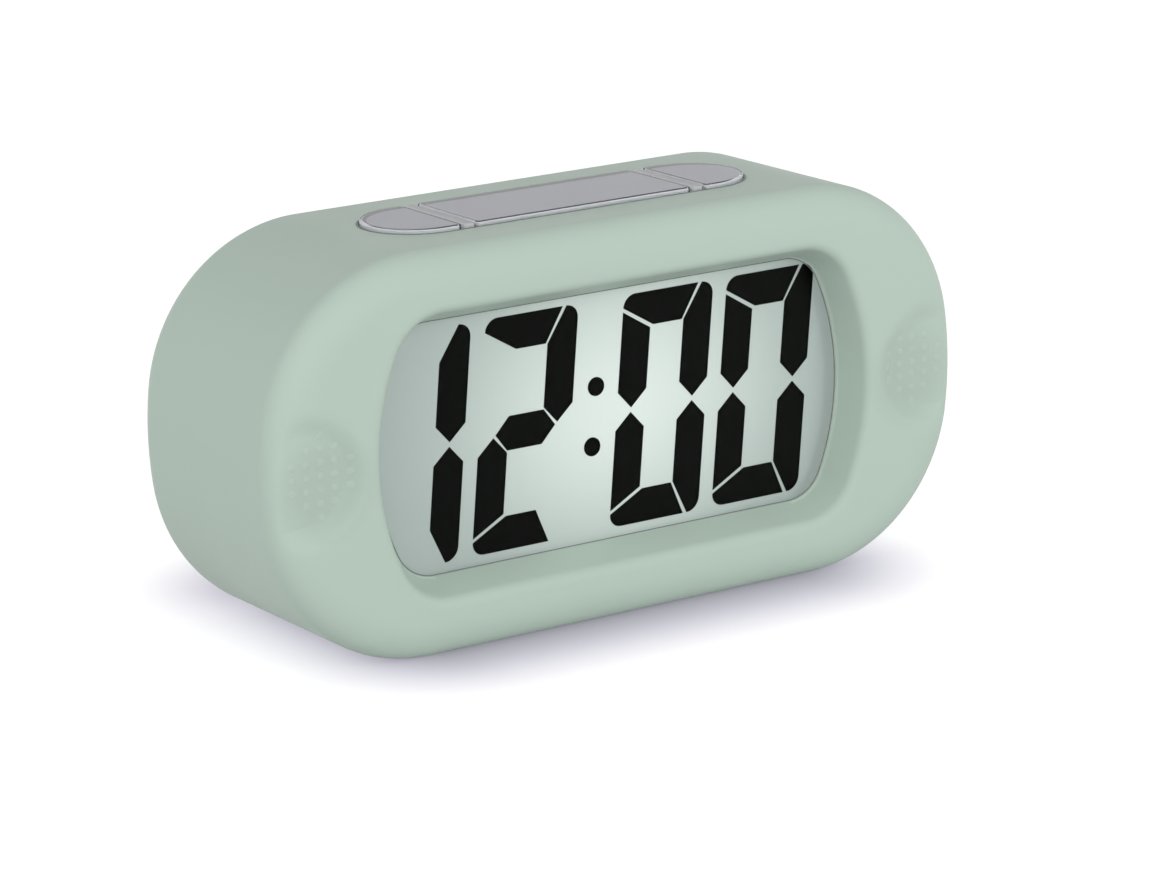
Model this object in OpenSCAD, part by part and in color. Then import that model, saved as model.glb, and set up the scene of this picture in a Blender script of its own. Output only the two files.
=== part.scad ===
// Digital alarm clock: a hard case in a soft silicone sleeve, with a large liquid-crystal display behind a
// bevelled window, three clear keys on the top, and two buttons, a slide switch and a battery door behind.
// The clock stands on Z = 0 and faces -Y. Sizes are in millimetres.

/* [Sleeve] */
// Width of the sleeve across the front
body_w = 140; // [137:0.5:150]
// Height of the sleeve, without the keys that stand above it
body_h = 69.2; // [68:0.1:76]
// Depth of the sleeve from front to back
body_d = 45; // [44:0.5:54]
// Radius of the four corners, seen from the front
corner_r = 30; // [27:0.5:32]
// Radius of the bowed left and right sides
side_r = 66; // [62:1:90]
// How far the front edge's rounding reaches across the face
front_round_w = 7; // [3:0.5:8]
// How far the front edge's rounding reaches along the sides
front_round_d = 5; // [2:0.5:8]
// Radius of the rear edge
rear_round = 4; // [2:0.5:5]
// Thickness of the sleeve around the sides
sleeve_t = 2.5; // [1.5:0.1:3]
// Thickness of the sleeve's front wall
sleeve_front_t = 3; // [2:0.1:4]
// Thickness of the sleeve's rear lip
sleeve_rear_t = 2; // [1.5:0.1:3]
// Height of the rear panel that shows above and below the battery bay
panel_rim = 5.3; // [4:0.1:6]
// Distance of each grip dimple from the middle
dimple_x = 60; // [58:0.5:61]
// Radius of the grip dimples
dimple_r = 8; // [5:0.5:9]
// Depth of the grip dimples
dimple_depth = 0.9; // [0.4:0.1:1.2]

/* [Window] */
// Width of the face to the left and right of the lens
face_side = 23; // [22:0.5:26]
// Height of the face above and below the lens
face_rim = 12.85; // [12.5:0.05:14]
// Corner radius of the lens
lens_corner_r = 8.8; // [7:0.2:10]
// Radius of the lens's bowed ends
lens_side_r = 42.5; // [38:0.5:60]
// Depth of the lens behind the front face
recess_depth = 6.4; // [5.5:0.1:7]
// Width of the bevel around the window
bevel_w = 3.2; // [2:0.1:3.6]
// Thickness of the lens
lens_t = 1.2; // [0.8:0.1:2]
// Width of the lens's hidden border
lens_border = 2; // [1.2:0.1:2.4]

/* [Display] */
// Height of the display above and below the digits
digit_rim = 1.6; // [1.2:0.1:4]
// Width of the display at both ends of the digits
digit_side = 2.45; // [2.3:0.05:6]
// Width of the upright segments
upright_w = 5.8; // [3:0.1:6.5]
// Width of the level segments
level_w = 5.9; // [3:0.1:6.5]
// Gap between neighbouring digits
digit_gap = 2.9; // [2.7:0.1:4]
// Gap between the colon's middle and the digits beside it
colon_gap = 4.65; // [4.3:0.05:5.5]
// Place of the colon to the right of the middle
colon_x = -2.35; // [-3:0.05:0]
// Height of the colon's dots above and below its middle
colon_rise = 5.2; // [4:0.1:8]
// Radius of the colon's dots
colon_r = 1.65; // [1:0.05:2]
// Lean of the digits to the right, in degrees
digit_lean = 6; // [0:0.5:8]
// Gap between segments
segment_gap = 0.8; // [0.4:0.1:1.2]
// Thickness of the display glass
lcd_t = 2.2; // [1.6:0.1:2.6]
// Thickness of the light guide
guide_t = 2.2; // [1.2:0.1:2.6]

/* [Case] */
// Wall of the hard case
case_t = 2; // [1.6:0.1:2.4]
// Depth of the rear case along its walls, in front of its panel
rear_case_deep = 6.4; // [5:0.1:8]
// How far the rear panel lies below the back of the sleeve
panel_inset = 1.2; // [1:0.1:1.4]
// Radius of the case screw bosses
boss_r = 3.2; // [2.8:0.1:3.4]
// Height of the case screws above and below the middle
boss_rise = 12; // [11:0.5:13]
// Radius of the case screw shanks
case_screw_r = 1.25; // [1:0.05:1.4]
// Thickness of the circuit boards
board_t = 1.6; // [0.8:0.1:2]

/* [Keys] */
// Distance of the keys' pill from the left and right sides of the sleeve
key_end = 32.4; // [31.4:0.1:35]
// Distance of the pill from the front and back of the sleeve, on average
key_side = 12.7; // [12:0.1:14]
// Place of the pill that the three keys form, in front of the middle
key_forward = 0; // [-1:0.1:2]
// How far the keys stand above the sleeve
key_proud = 0.8; // [0.5:0.1:1.2]
// Length of the middle key
snooze_l = 43.8; // [38:0.2:46]
// Width of the dividers between the keys
divider_w = 2; // [1.4:0.1:2.6]
// Travel of the keys
key_travel = 0.8; // [0.4:0.1:1]
// Edge of a tactile switch's body
switch_w = 6; // [5:0.1:6.6]
// Height of a tactile switch's body
switch_h = 3.5; // [3:0.1:4]
// Radius of a tactile switch's plunger
plunger_r = 1.7; // [1.2:0.1:2]

/* [Rear controls] */
// Radius of the rear buttons
button_r = 3.4; // [2.5:0.1:3.8]
// Distance between the two rear buttons
button_pitch = 17; // [15:0.5:19]
// Height of the rear buttons above the middle
button_rise = 12; // [11.5:0.1:12.5]
// Travel of the rear buttons
button_travel = 0.6; // [0.3:0.1:0.7]
// Height of the slide switch above the middle
slide_rise = 3; // [2.8:0.1:3.2]
// Travel of the slide switch
slide_travel = 4; // [2:0.1:4.4]
// Radius of the speaker
speaker_r = 9.5; // [8:0.1:9.6]
// Depth of the speaker's middle below the middle of the clock
speaker_drop = 10.5; // [10.4:0.1:11]

/* [Batteries] */
// Radius of a cell
cell_r = 5.2; // [5:0.05:5.25]
// Length of a cell with its terminal
cell_l = 44.5; // [43:0.1:45]
// Distance between the cells
cell_pitch = 11; // [10.8:0.1:11.2]
// Place of the battery bay to the right of the middle, seen from the front
bay_x = 15; // [14:0.5:16]
// Length of the contact springs
spring_l = 7; // [6:0.1:8]
// Turns of each contact spring
spring_turns = 4; // [3:1:5]
// Thickness of the battery door
door_t = 2.2; // [1.8:0.1:2.4]
// Radius of the battery door's hinge pins
door_pin_r = 0.6; // [0.5:0.05:0.7]

/* [Hidden] */
$fn = 64;

// Clearances: still pieces, loose holes, moving pieces, running fits and screw tips
fit_gap = 0.1;
loose_gap = 0.2;
move_gap = 0.3;
run_gap = 0.06;
tip_gap = 0.4;

// What cutters reach past a face, and how far joined shapes run into each other
past = 1;
weld = 0.5;

// Steps on each round stretch of an outline or an edge
corner_steps = 14;
side_steps = 8;
front_steps = 6;
rear_steps = 4;

// Depths are measured towards the front from the middle of the body
front_f = body_d / 2;
rear_f = -body_d / 2;
lens_f = front_f - recess_depth;
seat_t = 0.9;
lens_back_f = lens_f - lens_t;
lcd_f = lens_back_f - seat_t;
lcd_back_f = lcd_f - lcd_t;
guide_back_f = lcd_back_f - guide_t;
holder_floor = 2.5;
holder_back_f = guide_back_f - holder_floor;
board_back_f = holder_back_f - board_t;
case_front_f = front_f - sleeve_front_t - fit_gap;
plate_back_f = case_front_f - case_t;
case_rear_f = rear_f + sleeve_rear_t + fit_gap;
panel_in_f = case_rear_f + case_t;
panel_f = rear_f + panel_inset;
split_f = panel_in_f + rear_case_deep;

// Battery bay
plate_t = 0.4;
plate_w = 8.6;
bay_wall = 1.6;
bay_l = cell_l + spring_l + 2 * plate_t + fit_gap;
bay_h = 2 * cell_pitch + 2 * cell_r + 2 * move_gap;
door_ledge = 1.8;
rebate_l = bay_l + 2 * door_ledge;
rebate_h = bay_h + 2 * door_ledge;
door_l = rebate_l - 2 * move_gap;
door_h = rebate_h - 2 * move_gap;
door_in_f = panel_f + door_t;
ledge_f = door_in_f + loose_gap;
cell_f = door_in_f + 2 * move_gap + cell_r;
bay_floor_f = cell_f + cell_r + fit_gap;
bay_front_f = bay_floor_f + bay_wall;
hinge_y = -door_h / 2 + door_t / 2;
hinge_f = panel_f + door_t / 2;
hinge_pin_l = 1.2;
tongue_w = 10;
tongue_h = 1.2;
tongue_t = 1.2;
grip_ridges = 4;
grip_pitch = 1.7;
grip_inset = 2;
grip_deep = 0.5;
lug_w = 2.4;
lug_reach = 2;
cell_rows = [cell_pitch, 0, -cell_pitch];
spring_wire_r = 0.3;
spring_big_r = 3.6;
spring_small_r = 2.1;
spring_seat = 0.03;
curl_rings = 8;
wire_sides = 6;

// Outlines seen from the front: half width, half height, corner radius and side radius
lens_w = body_w - 2 * face_side;
lens_h = body_h - 2 * face_rim;
body = [body_w / 2, body_h / 2, corner_r, side_r];
lens = [lens_w / 2, lens_h / 2, lens_corner_r, lens_side_r];
rear_border = (body_h - rebate_h) / 2 - panel_rim;
collar_t = 2;
collar_w = bevel_w + collar_t;
frame_w = collar_w + case_t;
window_lap = 0.6;
window_w = lens_border - window_lap;
case_in = sleeve_t + fit_gap;
cavity_in = case_in + case_t;

// Keys, in heights above the table
mid_z = body_h / 2;
key_l = body_w - 2 * key_end;
key_w = body_d - 2 * key_side;
key_y = -key_forward;
key_top = body_h + key_proud;
case_top = body_h - case_in;
case_ceiling = case_top - case_t;
flange_w = 1.2;
flange_t = 1.2;
flange_end = divider_w / 2 - fit_gap;
flange_top = case_ceiling - move_gap;
key_bottom = flange_top - flange_t;
plunger_h = 1;
plunger_deep = 0.7;
key_board_top = key_bottom - plunger_h - switch_h;
key_board_w = 9.8;
key_screw_bite = 4.6;
key_roof = 1.8;
key_wall = 1.6;
key_stem_r = 2.4;
end_key_in = snooze_l / 2 + divider_w + 2 * move_gap;
end_switch_x = (key_l / 2 + end_key_in) / 2;
key_post_r = 2.4;
key_post_x = key_l / 2 + flange_w + 3 * move_gap + key_post_r;
key_board_end = 3.5;
key_board_l = 2 * (key_post_x + key_board_end);
board_screw_r = 1;
board_screw_head_r = 1.9;
board_screw_head_h = 1.4;

// Display stack
lcd_border = [1.6, 2.25];
lcd_w = lens_w + 2 * lcd_border[0];
lcd_h = lens_h + 2 * lcd_border[1];
holder_wall = [5.6, 2];
holder_w = lcd_w + 2 * holder_wall[0];
holder_h = lcd_h + 2 * holder_wall[1];
guide_side = 4.6;
guide_foot = 4.8;
guide_head = 1;
guide_w = lcd_w - 2 * guide_side;
guide_bottom = guide_foot - lcd_h / 2;
guide_top = lcd_h / 2 - guide_head;
zebra_w = 2.2;
zebra_rise = 0.8;
zebra_side = 4.5;
zebra_bottom = zebra_rise - lcd_h / 2;
zebra_l = lcd_w - 2 * zebra_side;
led_size = [1.6, 3.5, 1.4];
segment_t = 0.1;

// Main board, from the foot of the display up to just below the key board
main_board_w = holder_w - 2 * loose_gap;
main_board_bottom = -lcd_h / 2;
main_board_top = key_board_top - board_t - mid_z - 2 * move_gap;
main_screw_side = 3;
main_screw_drop = 3.8;
main_screw_x = holder_w / 2 - main_screw_side;
main_screw_y = main_board_top - main_screw_drop;
main_boss_r = 2.6;

// Case screws
boss_side = 1.5;
boss_x = body_w / 2 - cavity_in - boss_side - boss_r;
case_head_r = 2.4;
case_head_h = 1.8;
case_head_seat = 1.4;
case_head_f = panel_in_f + case_head_seat;
case_screw_l = 14;
case_tip_f = case_head_f + case_screw_l;

// Rear controls, half way between the left case screws and the battery bay
control_x = (boss_r - boss_x + bay_x - rebate_l / 2 - bay_wall) / 2;
button_flange_w = 1.2;
button_flange_t = 1;
button_flange_f = panel_in_f + move_gap;
button_in_f = button_flange_f + button_flange_t;
control_board_f = button_in_f + plunger_h + switch_h;
control_front_f = control_board_f + board_t;
control_boss_r = 2.2;
control_screw_out = 5;
control_screw_rise = 1;
control_screw_bite = 4;
control_screw_x = button_pitch / 2 + control_screw_out;
control_screw_y = slide_rise + control_screw_rise;
control_board_rim = [2.5, 4, 5];
control_board_w = 2 * (control_screw_x + control_board_rim[0]);
control_board_top = button_rise + control_board_rim[1];
control_board_bottom = slide_rise - control_board_rim[2];
cap_inset = 0.2;
cap_f = rear_f + cap_inset;
knob_size = [3.4, 2.6];
knob_root = [2.4, 1.2];
knob_flange_h = 4.4;
knob_flange_t = 0.8;
slide_slot_l = knob_size[0] + slide_travel + 2 * move_gap;
slide_flange_l = slide_slot_l + slide_travel + 2 * loose_gap;
slide_body_end = 2.1;
slide_body = [knob_root[0] + slide_travel + 2 * slide_body_end, 4.4];
slide_root_deep = 1.6;
knob_x = control_x - slide_travel / 2;

// Speaker
speaker_flange_t = 1;
speaker_flange_w = 0.6;
speaker_wall = 0.8;
speaker_body_t = 2.8;
speaker_base_t = 0.8;
speaker_magnet_t = 1.2;
speaker_magnet_r = 5.5;
speaker_ring_t = 1.2;
speaker_ring_h = 2;
sound_hole_r = 0.8;
sound_hole_pitch = 2.6;

// Leads and ribbons
lead_r = 0.7;
lead_sides = 8;
lead_straight = 1.5;
speaker_lead_x = 3;
speaker_lead_bow = [0, -1.5, 0];
cell_lead_bow = [0, 0.6, 0];
cell_lead_shift = [2, 1, 0];
ribbon_t = 0.6;
ribbon_w = 10;
ribbon_stand = 1.4;
ribbon_drop = 7;
control_ribbon_y = 6;
lug_f = bay_front_f + lug_reach;

// Outlines and edges

function grown(p, u) = [for (v = p) v + u];

// Points of an arc, less some at its start and its end
function arc(c, r, from, to, steps, skip = 0, drop = 0) =
    [for (i = [skip : steps - drop]) let (a = from + (to - from) * i / steps) c + r * [cos(a), sin(a)]];

// Points of an outline with a flat top and bottom, round corners and bowed sides, counter-clockwise
function outline(p) =
    let (
        cy = p[1] - p[2],
        sx = p[0] - p[3],
        cx = sx + sqrt(pow(p[3] - p[2], 2) - cy * cy),
        turn = atan2(cy, cx - sx)
    )
    concat(
        arc([sx, 0], p[3], -turn, turn, side_steps),
        arc([cx, cy], p[2], turn, 90, corner_steps, 1),
        arc([-cx, cy], p[2], 90, 180 - turn, corner_steps),
        arc([-sx, 0], p[3], 180 - turn, 180 + turn, side_steps, 1),
        arc([-cx, -cy], p[2], 180 + turn, 270, corner_steps, 1),
        arc([cx, -cy], p[2], 270, 360 - turn, corner_steps, 0, 1)
    );

// Solid whose outline p grows by edge[i][0] at depth edge[i][1]
module lofted(p, edge) {
    rings = [for (e = edge) [for (q = outline(grown(p, e[0]))) [q[0], q[1], e[1]]]];
    n = len(rings[0]);
    last = len(rings) - 1;
    sides = [
        for (i = [0 : last - 1], j = [0 : n - 1])
            let (k = (j + 1) % n, a = i * n, b = a + n)
            each [[a + j, b + j, b + k], [a + j, b + k, a + k]]
    ];
    caps = [[for (j = [0 : n - 1]) j], [for (j = [0 : n - 1]) last * n + n - 1 - j]];
    polyhedron([for (r = rings) each r], concat(caps, sides));
}

module slab(p, from, to) {
    translate([0, 0, from])
        linear_extrude(to - from)
            polygon(outline(p));
}

// Shapes that are drawn lying on their back are stood up to face -Y
module upright() {
    translate([0, 0, mid_z])
        rotate([90, 0, 0])
            children();
}

module box(x, y, z) {
    translate([x[0], y[0], z[0]])
        cube([x[1] - x[0], y[1] - y[0], z[1] - z[0]]);
}

// Box around the middle of its width and height
module block(w, h, from, to) {
    box([-w / 2, w / 2], [-h / 2, h / 2], [from, to]);
}

module rod(r, from, to) {
    translate([0, 0, from])
        cylinder(r = r, h = to - from);
}

module four(x, y) {
    for (sx = [-1, 1], sy = [-1, 1])
        translate([sx * x, sy * y, 0])
            children();
}

module pair(x) {
    for (s = [-1, 1])
        translate([s * x, 0, 0])
            children();
}

// Screw with its cross-slotted head under z = 0 and its shank above
module screw(shank_r, shank_l, head_r, head_h) {
    slot_l = head_r * 1.3;
    slot_w = head_r / 4;
    difference() {
        rod(head_r, -head_h, 0);
        for (turn = [0, 90])
            translate([0, 0, -head_h])
                rotate([0, 0, turn])
                    cube([slot_l, slot_w, head_h], center = true);
    }
    rod(shank_r, -head_h / 4, shank_l);
}

module board_screw(shank_l) {
    screw(board_screw_r, shank_l, board_screw_head_r, board_screw_head_h);
}

module pill(l, w, from, to) {
    translate([0, key_y, from])
        linear_extrude(to - from)
            union() {
                square([l - w, w], center = true);
                pair((l - w) / 2)
                    circle(d = w);
            }
}

// Tube along points, with a steady radius
function unit(v) = v / norm(v);

function heading(path, i) =
    unit(path[min(i + 1, len(path) - 1)] - path[max(i - 1, 0)]);

function tube_ring(path, i, r, sides, side_axis) =
    let (d = heading(path, i), u = unit(cross(side_axis, d)), v = cross(d, u))
    [for (k = [0 : sides - 1]) path[i] + r * (cos(360 * k / sides) * u + sin(360 * k / sides) * v)];

module tube(path, r, sides, side_axis) {
    n = len(path);
    points = [for (i = [0 : n - 1]) each tube_ring(path, i, r, sides, side_axis)];
    walls = [
        for (i = [0 : n - 2], k = [0 : sides - 1])
            let (m = (k + 1) % sides, a = i * sides, b = a + sides)
            each [[a + k, b + k, b + m], [a + k, b + m, a + m]]
    ];
    caps = [
        for (k = [1 : sides - 2])
            each [[0, k, k + 1], [(n - 1) * sides, (n - 1) * sides + k + 1, (n - 1) * sides + k]]
    ];
    polyhedron(points, concat(walls, caps));
}

// Sleeve and case

sleeve_edge = concat(
    [
        for (i = [0 : rear_steps])
            let (a = 90 * i / rear_steps)
            [-rear_round * (1 - sin(a)), rear_f + rear_round * (1 - cos(a))]
    ],
    [
        for (i = [0 : front_steps])
            let (a = 90 * i / front_steps)
            [-front_round_w * (1 - cos(a)), front_f - front_round_d * (1 - sin(a))]
    ]
);

bevel_edge = [[0, lens_f - past], [0, lens_f], [bevel_w, front_f], [bevel_w, front_f + past]];

module dimple() {
    ball_r = (dimple_r * dimple_r + dimple_depth * dimple_depth) / (2 * dimple_depth);
    translate([0, 0, front_f - dimple_depth + ball_r])
        sphere(r = ball_r);
}

module silicone_sleeve() {
    color([0.72, 0.8, 0.74])
        difference() {
            upright()
                difference() {
                    lofted(body, sleeve_edge);
                    difference() {
                        slab(grown(body, -sleeve_t), rear_f + sleeve_rear_t, front_f - sleeve_front_t);
                        slab(grown(lens, collar_w), lens_f, front_f);
                    }
                    slab(grown(body, -rear_border), rear_f - past, rear_f + sleeve_rear_t + past);
                    lofted(lens, bevel_edge);
                    pair(dimple_x)
                        dimple();
                }
            pill(key_l + 2 * move_gap, key_w + 2 * move_gap, body_h - sleeve_t - past, body_h + past);
        }
}

module key_openings() {
    difference() {
        pill(key_l + 2 * move_gap, key_w + 2 * move_gap, case_ceiling - past, case_top + past);
        pair((snooze_l + divider_w) / 2 + move_gap)
            box([-divider_w / 2, divider_w / 2], [key_y - key_w, key_y + key_w], [case_ceiling, case_top]);
    }
}

module key_posts() {
    pair(key_post_x)
        rod(key_post_r, key_board_top, case_ceiling + weld);
}

module key_screw_holes() {
    pair(key_post_x)
        rod(board_screw_r + run_gap, key_board_top - past, key_board_top + key_screw_bite + tip_gap);
}

module front_case() {
    color([0.9, 0.9, 0.88])
        difference() {
            union() {
                upright() {
                    difference() {
                        union() {
                            difference() {
                                slab(grown(body, -case_in), split_f, case_front_f);
                                slab(grown(body, -cavity_in), split_f - past, plate_back_f);
                            }
                            slab(grown(lens, frame_w), lcd_f, plate_back_f + weld);
                            four(main_screw_x, main_screw_y)
                                rod(main_boss_r, lcd_f, plate_back_f + weld);
                            four(boss_x, boss_rise)
                                rod(boss_r, split_f, plate_back_f + weld);
                        }
                        slab(grown(lens, collar_w + fit_gap), lens_f, case_front_f + past);
                        slab(grown(lens, lens_border + fit_gap), lens_back_f, lens_f + past);
                        slab(grown(lens, window_w), lcd_f - past, lens_f);
                        four(main_screw_x, main_screw_y)
                            rod(board_screw_r + run_gap, lcd_f - past, plate_back_f);
                        four(boss_x, boss_rise)
                            rod(case_screw_r + run_gap, split_f - past, case_tip_f + tip_gap);
                    }
                }
                key_posts();
            }
            key_openings();
            key_screw_holes();
        }
}

module sound_holes() {
    translate([control_x, -speaker_drop, 0])
        for (ring = [0 : 2], k = [0 : max(6 * ring - 1, 0)])
            rotate([0, 0, ring == 0 ? 0 : 60 * k / ring])
                translate([ring * sound_hole_pitch, 0, 0])
                    rod(sound_hole_r, panel_f - past, panel_in_f + past);
}

module control_holes() {
    translate([control_x, button_rise, 0])
        pair(button_pitch / 2)
            rod(button_r + move_gap, panel_f - past, panel_in_f + past);
    translate([control_x, slide_rise, 0])
        block(slide_slot_l, knob_size[1] + 2 * move_gap, panel_f - past, panel_in_f + past);
}

module bay_cut() {
    translate([bay_x, 0, 0]) {
        block(bay_l, bay_h, panel_f - past, bay_floor_f);
        block(rebate_l, rebate_h, panel_f - past, ledge_f);
        box(
            [-tongue_w / 2 - move_gap, tongue_w / 2 + move_gap],
            [0, door_h / 2 + tongue_h + move_gap],
            [panel_f - past, ledge_f]
        );
        translate([0, hinge_y, hinge_f])
            rotate([0, 90, 0])
                rod(door_pin_r + run_gap, -rebate_l / 2 - bay_wall, rebate_l / 2 + bay_wall);
        lug_slots();
    }
}

module lug_slots() {
    for (s = [-1, 1])
        translate([s * (bay_l / 2 - plate_t / 2), -s * cell_pitch, 0])
            block(plate_t + 2 * fit_gap, lug_w + 2 * fit_gap, bay_floor_f - past, bay_front_f + past);
}

module rear_case() {
    speaker_ring_r = speaker_r + loose_gap;
    bay_out_l = rebate_l + 2 * bay_wall;
    bay_out_h = rebate_h + 2 * bay_wall;
    color([0.9, 0.9, 0.88])
        upright()
            difference() {
                union() {
                    difference() {
                        slab(grown(body, -case_in), case_rear_f, split_f);
                        slab(grown(body, -cavity_in), panel_in_f, split_f + past);
                    }
                    slab(grown(body, -rear_border - move_gap), panel_f, panel_in_f);
                    translate([bay_x, 0, 0])
                        block(bay_out_l, bay_out_h, panel_in_f - weld, bay_front_f);
                    four(boss_x, boss_rise)
                        rod(boss_r, panel_in_f - weld, split_f);
                    translate([control_x, control_screw_y, 0])
                        pair(control_screw_x)
                            rod(control_boss_r, panel_in_f - weld, control_board_f);
                    translate([control_x, -speaker_drop, 0])
                        difference() {
                            rod(
                                speaker_ring_r + speaker_ring_t,
                                panel_in_f - weld,
                                panel_in_f + speaker_ring_h
                            );
                            rod(speaker_ring_r, panel_in_f - past, panel_in_f + speaker_ring_h + past);
                        }
                }
                bay_cut();
                sound_holes();
                control_holes();
                translate([control_x, control_screw_y, 0])
                    pair(control_screw_x)
                        rod(
                            board_screw_r + run_gap,
                            control_board_f - control_screw_bite - tip_gap,
                            control_board_f + past
                        );
                four(boss_x, boss_rise) {
                    rod(case_head_r + loose_gap, panel_f - past, case_head_f);
                    rod(case_screw_r + loose_gap, panel_f, split_f + past);
                }
            }
}

module case_screws() {
    color([0.7, 0.7, 0.72])
        upright()
            four(boss_x, boss_rise)
                translate([0, 0, case_head_f])
                    screw(case_screw_r, case_screw_l, case_head_r, case_head_h);
}

// Display

module display_lens() {
    color([0.86, 0.9, 0.88, 0.4])
        upright()
            slab(grown(lens, lens_border), lens_back_f, lens_f);
}

module lcd_glass() {
    color([0.76, 0.8, 0.77])
        upright()
            block(lcd_w, lcd_h, lcd_back_f, lcd_f);
}

// Outlines of a digit's seven segments, upright, around the digit's middle
digit_w = (lens_w - 2 * digit_side - 2 * digit_gap - 2 * colon_gap) / 4;
digit_h = lens_h - 2 * digit_rim;
digit_pitch = digit_w + digit_gap;
colon_reach = colon_gap + digit_w / 2;
half_w = digit_w / 2;
half_h = digit_h / 2;
inner_x = half_w - upright_w;
inner_y = half_h - level_w;
spine_x = half_w - upright_w / 2;
shoulder = upright_w / 2 + segment_gap / 2;
joint_x = spine_x + segment_gap / 8;
left_round = 2.3;
right_round = half_w - joint_x - segment_gap / 2;
digit_steps = 6;

function segment_a() = concat(
    [[inner_x - segment_gap / 2, inner_y], [joint_x - segment_gap / 2, half_h]],
    arc([left_round - half_w, half_h - left_round], left_round, 90, 180, digit_steps),
    [[segment_gap * 0.7 - inner_x, inner_y]]
);

function segment_b() = concat(
    [
        [inner_x, inner_y - segment_gap / 8],
        [inner_x, shoulder],
        [spine_x, segment_gap / 2],
        [half_w, shoulder]
    ],
    arc([half_w - right_round, half_h - right_round], right_round, 0, 90, digit_steps)
);

function segment_f() = [
    [-half_w, half_h - left_round - segment_gap * 0.85],
    [-half_w, shoulder],
    [-spine_x, segment_gap / 2],
    [-inner_x, shoulder],
    [-inner_x, inner_y - segment_gap * 0.55]
];

function segment_g() =
    let (tip = spine_x - segment_gap / 2, top = level_w / 2)
    [[-tip, 0], [-inner_x, top], [inner_x, top], [tip, 0], [inner_x, -top], [-inner_x, -top]];

function flipped(points) = [for (p = points) [p[0], -p[1]]];

function segment(name) =
    name == "a" ? segment_a() :
    name == "b" ? segment_b() :
    name == "c" ? flipped(segment_b()) :
    name == "d" ? flipped(segment_a()) :
    name == "e" ? flipped(segment_f()) :
    name == "f" ? segment_f() :
    segment_g();

function leaned(points) = [for (p = points) [p[0] + tan(digit_lean) * p[1], p[1]]];

// The display reads 12:00
shown = [
    [colon_x - colon_reach - digit_pitch, ["b", "c"]],
    [colon_x - colon_reach, ["a", "b", "g", "e", "d"]],
    [colon_x + colon_reach, ["a", "b", "c", "d", "e", "f"]],
    [colon_x + colon_reach + digit_pitch, ["a", "b", "c", "d", "e", "f"]]
];
digits_y = -0.5;

module lcd_segments() {
    color([0.09, 0.1, 0.09])
        upright()
            translate([0, digits_y, lcd_f]) {
                for (digit = shown, name = digit[1])
                    translate([digit[0], 0, 0])
                        linear_extrude(segment_t)
                            polygon(leaned(segment(name)));
                for (s = [-1, 1])
                    translate([colon_x + s * colon_rise * tan(digit_lean), s * colon_rise, 0])
                        rod(colon_r, 0, segment_t);
            }
}

module lcd_holder() {
    color([0.95, 0.95, 0.93])
        upright()
            difference() {
                intersection() {
                    block(holder_w, holder_h, holder_back_f, lcd_f);
                    slab(grown(body, -cavity_in - move_gap), holder_back_f, lcd_f);
                }
                block(lcd_w + 2 * fit_gap, lcd_h + 2 * fit_gap, lcd_back_f, lcd_f + past);
                box(
                    [-guide_w / 2 - fit_gap, guide_w / 2 + fit_gap],
                    [guide_bottom - fit_gap, guide_top + fit_gap],
                    [guide_back_f, lcd_f]
                );
                pair((guide_w + led_size[0]) / 2 + fit_gap)
                    block(led_size[0] + 2 * fit_gap, led_size[1] + 2 * fit_gap, guide_back_f, lcd_f);
                box(
                    [-zebra_l / 2 - fit_gap, zebra_l / 2 + fit_gap],
                    [zebra_bottom - fit_gap, zebra_bottom + zebra_w + fit_gap],
                    [holder_back_f - past, lcd_f]
                );
                four(main_screw_x, main_screw_y)
                    rod(board_screw_r + fit_gap, holder_back_f - past, lcd_f + past);
            }
}

module light_guide() {
    color([0.9, 0.95, 0.95, 0.7])
        upright()
            box([-guide_w / 2, guide_w / 2], [guide_bottom, guide_top], [guide_back_f, lcd_back_f]);
}

module backlight_leds() {
    color([0.98, 0.95, 0.7])
        upright()
            pair((guide_w + led_size[0]) / 2 + fit_gap)
                block(led_size[0], led_size[1], guide_back_f, guide_back_f + led_size[2]);
}

module zebra_strip() {
    color([0.35, 0.35, 0.37])
        upright()
            box(
                [-zebra_l / 2, zebra_l / 2],
                [zebra_bottom, zebra_bottom + zebra_w],
                [holder_back_f, lcd_back_f]
            );
}

// Main board

module main_board() {
    color([0.1, 0.4, 0.2])
        upright()
            difference() {
                box(
                    [-main_board_w / 2, main_board_w / 2],
                    [main_board_bottom, main_board_top],
                    [board_back_f, holder_back_f]
                );
                four(main_screw_x, main_screw_y)
                    rod(board_screw_r + fit_gap, board_back_f - past, holder_back_f + past);
            }
}

module main_board_screws() {
    color([0.7, 0.7, 0.72])
        upright()
            four(main_screw_x, main_screw_y)
                translate([0, 0, board_back_f])
                    board_screw(plate_back_f - board_back_f - tip_gap);
}

chip_w = 10;
chip_t = 1.6;
chip_place = [8, 5];
chip_legs = 8;
chip_leg_l = 1;
chip_leg_t = 0.4;
crystal_r = 1.5;
crystal_l = 8;
crystal_place = [-16, -10];
capacitor_r = 2.5;
capacitor_h = 5;
capacitor_places = [[20, -12], [27, -12]];

module clock_chip() {
    pitch = chip_w / chip_legs;
    color([0.12, 0.12, 0.13])
        upright()
            translate([chip_place[0], chip_place[1], board_back_f]) {
                block(chip_w, chip_w, -chip_t, -chip_leg_t / 2);
                for (side = [0 : 90 : 270], k = [0 : chip_legs - 1])
                    rotate([0, 0, side])
                        translate([chip_w / 2, (k - (chip_legs - 1) / 2) * pitch, 0])
                            box([-chip_leg_t, chip_leg_l], [-pitch / 4, pitch / 4], [-chip_leg_t, 0]);
            }
}

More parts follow.
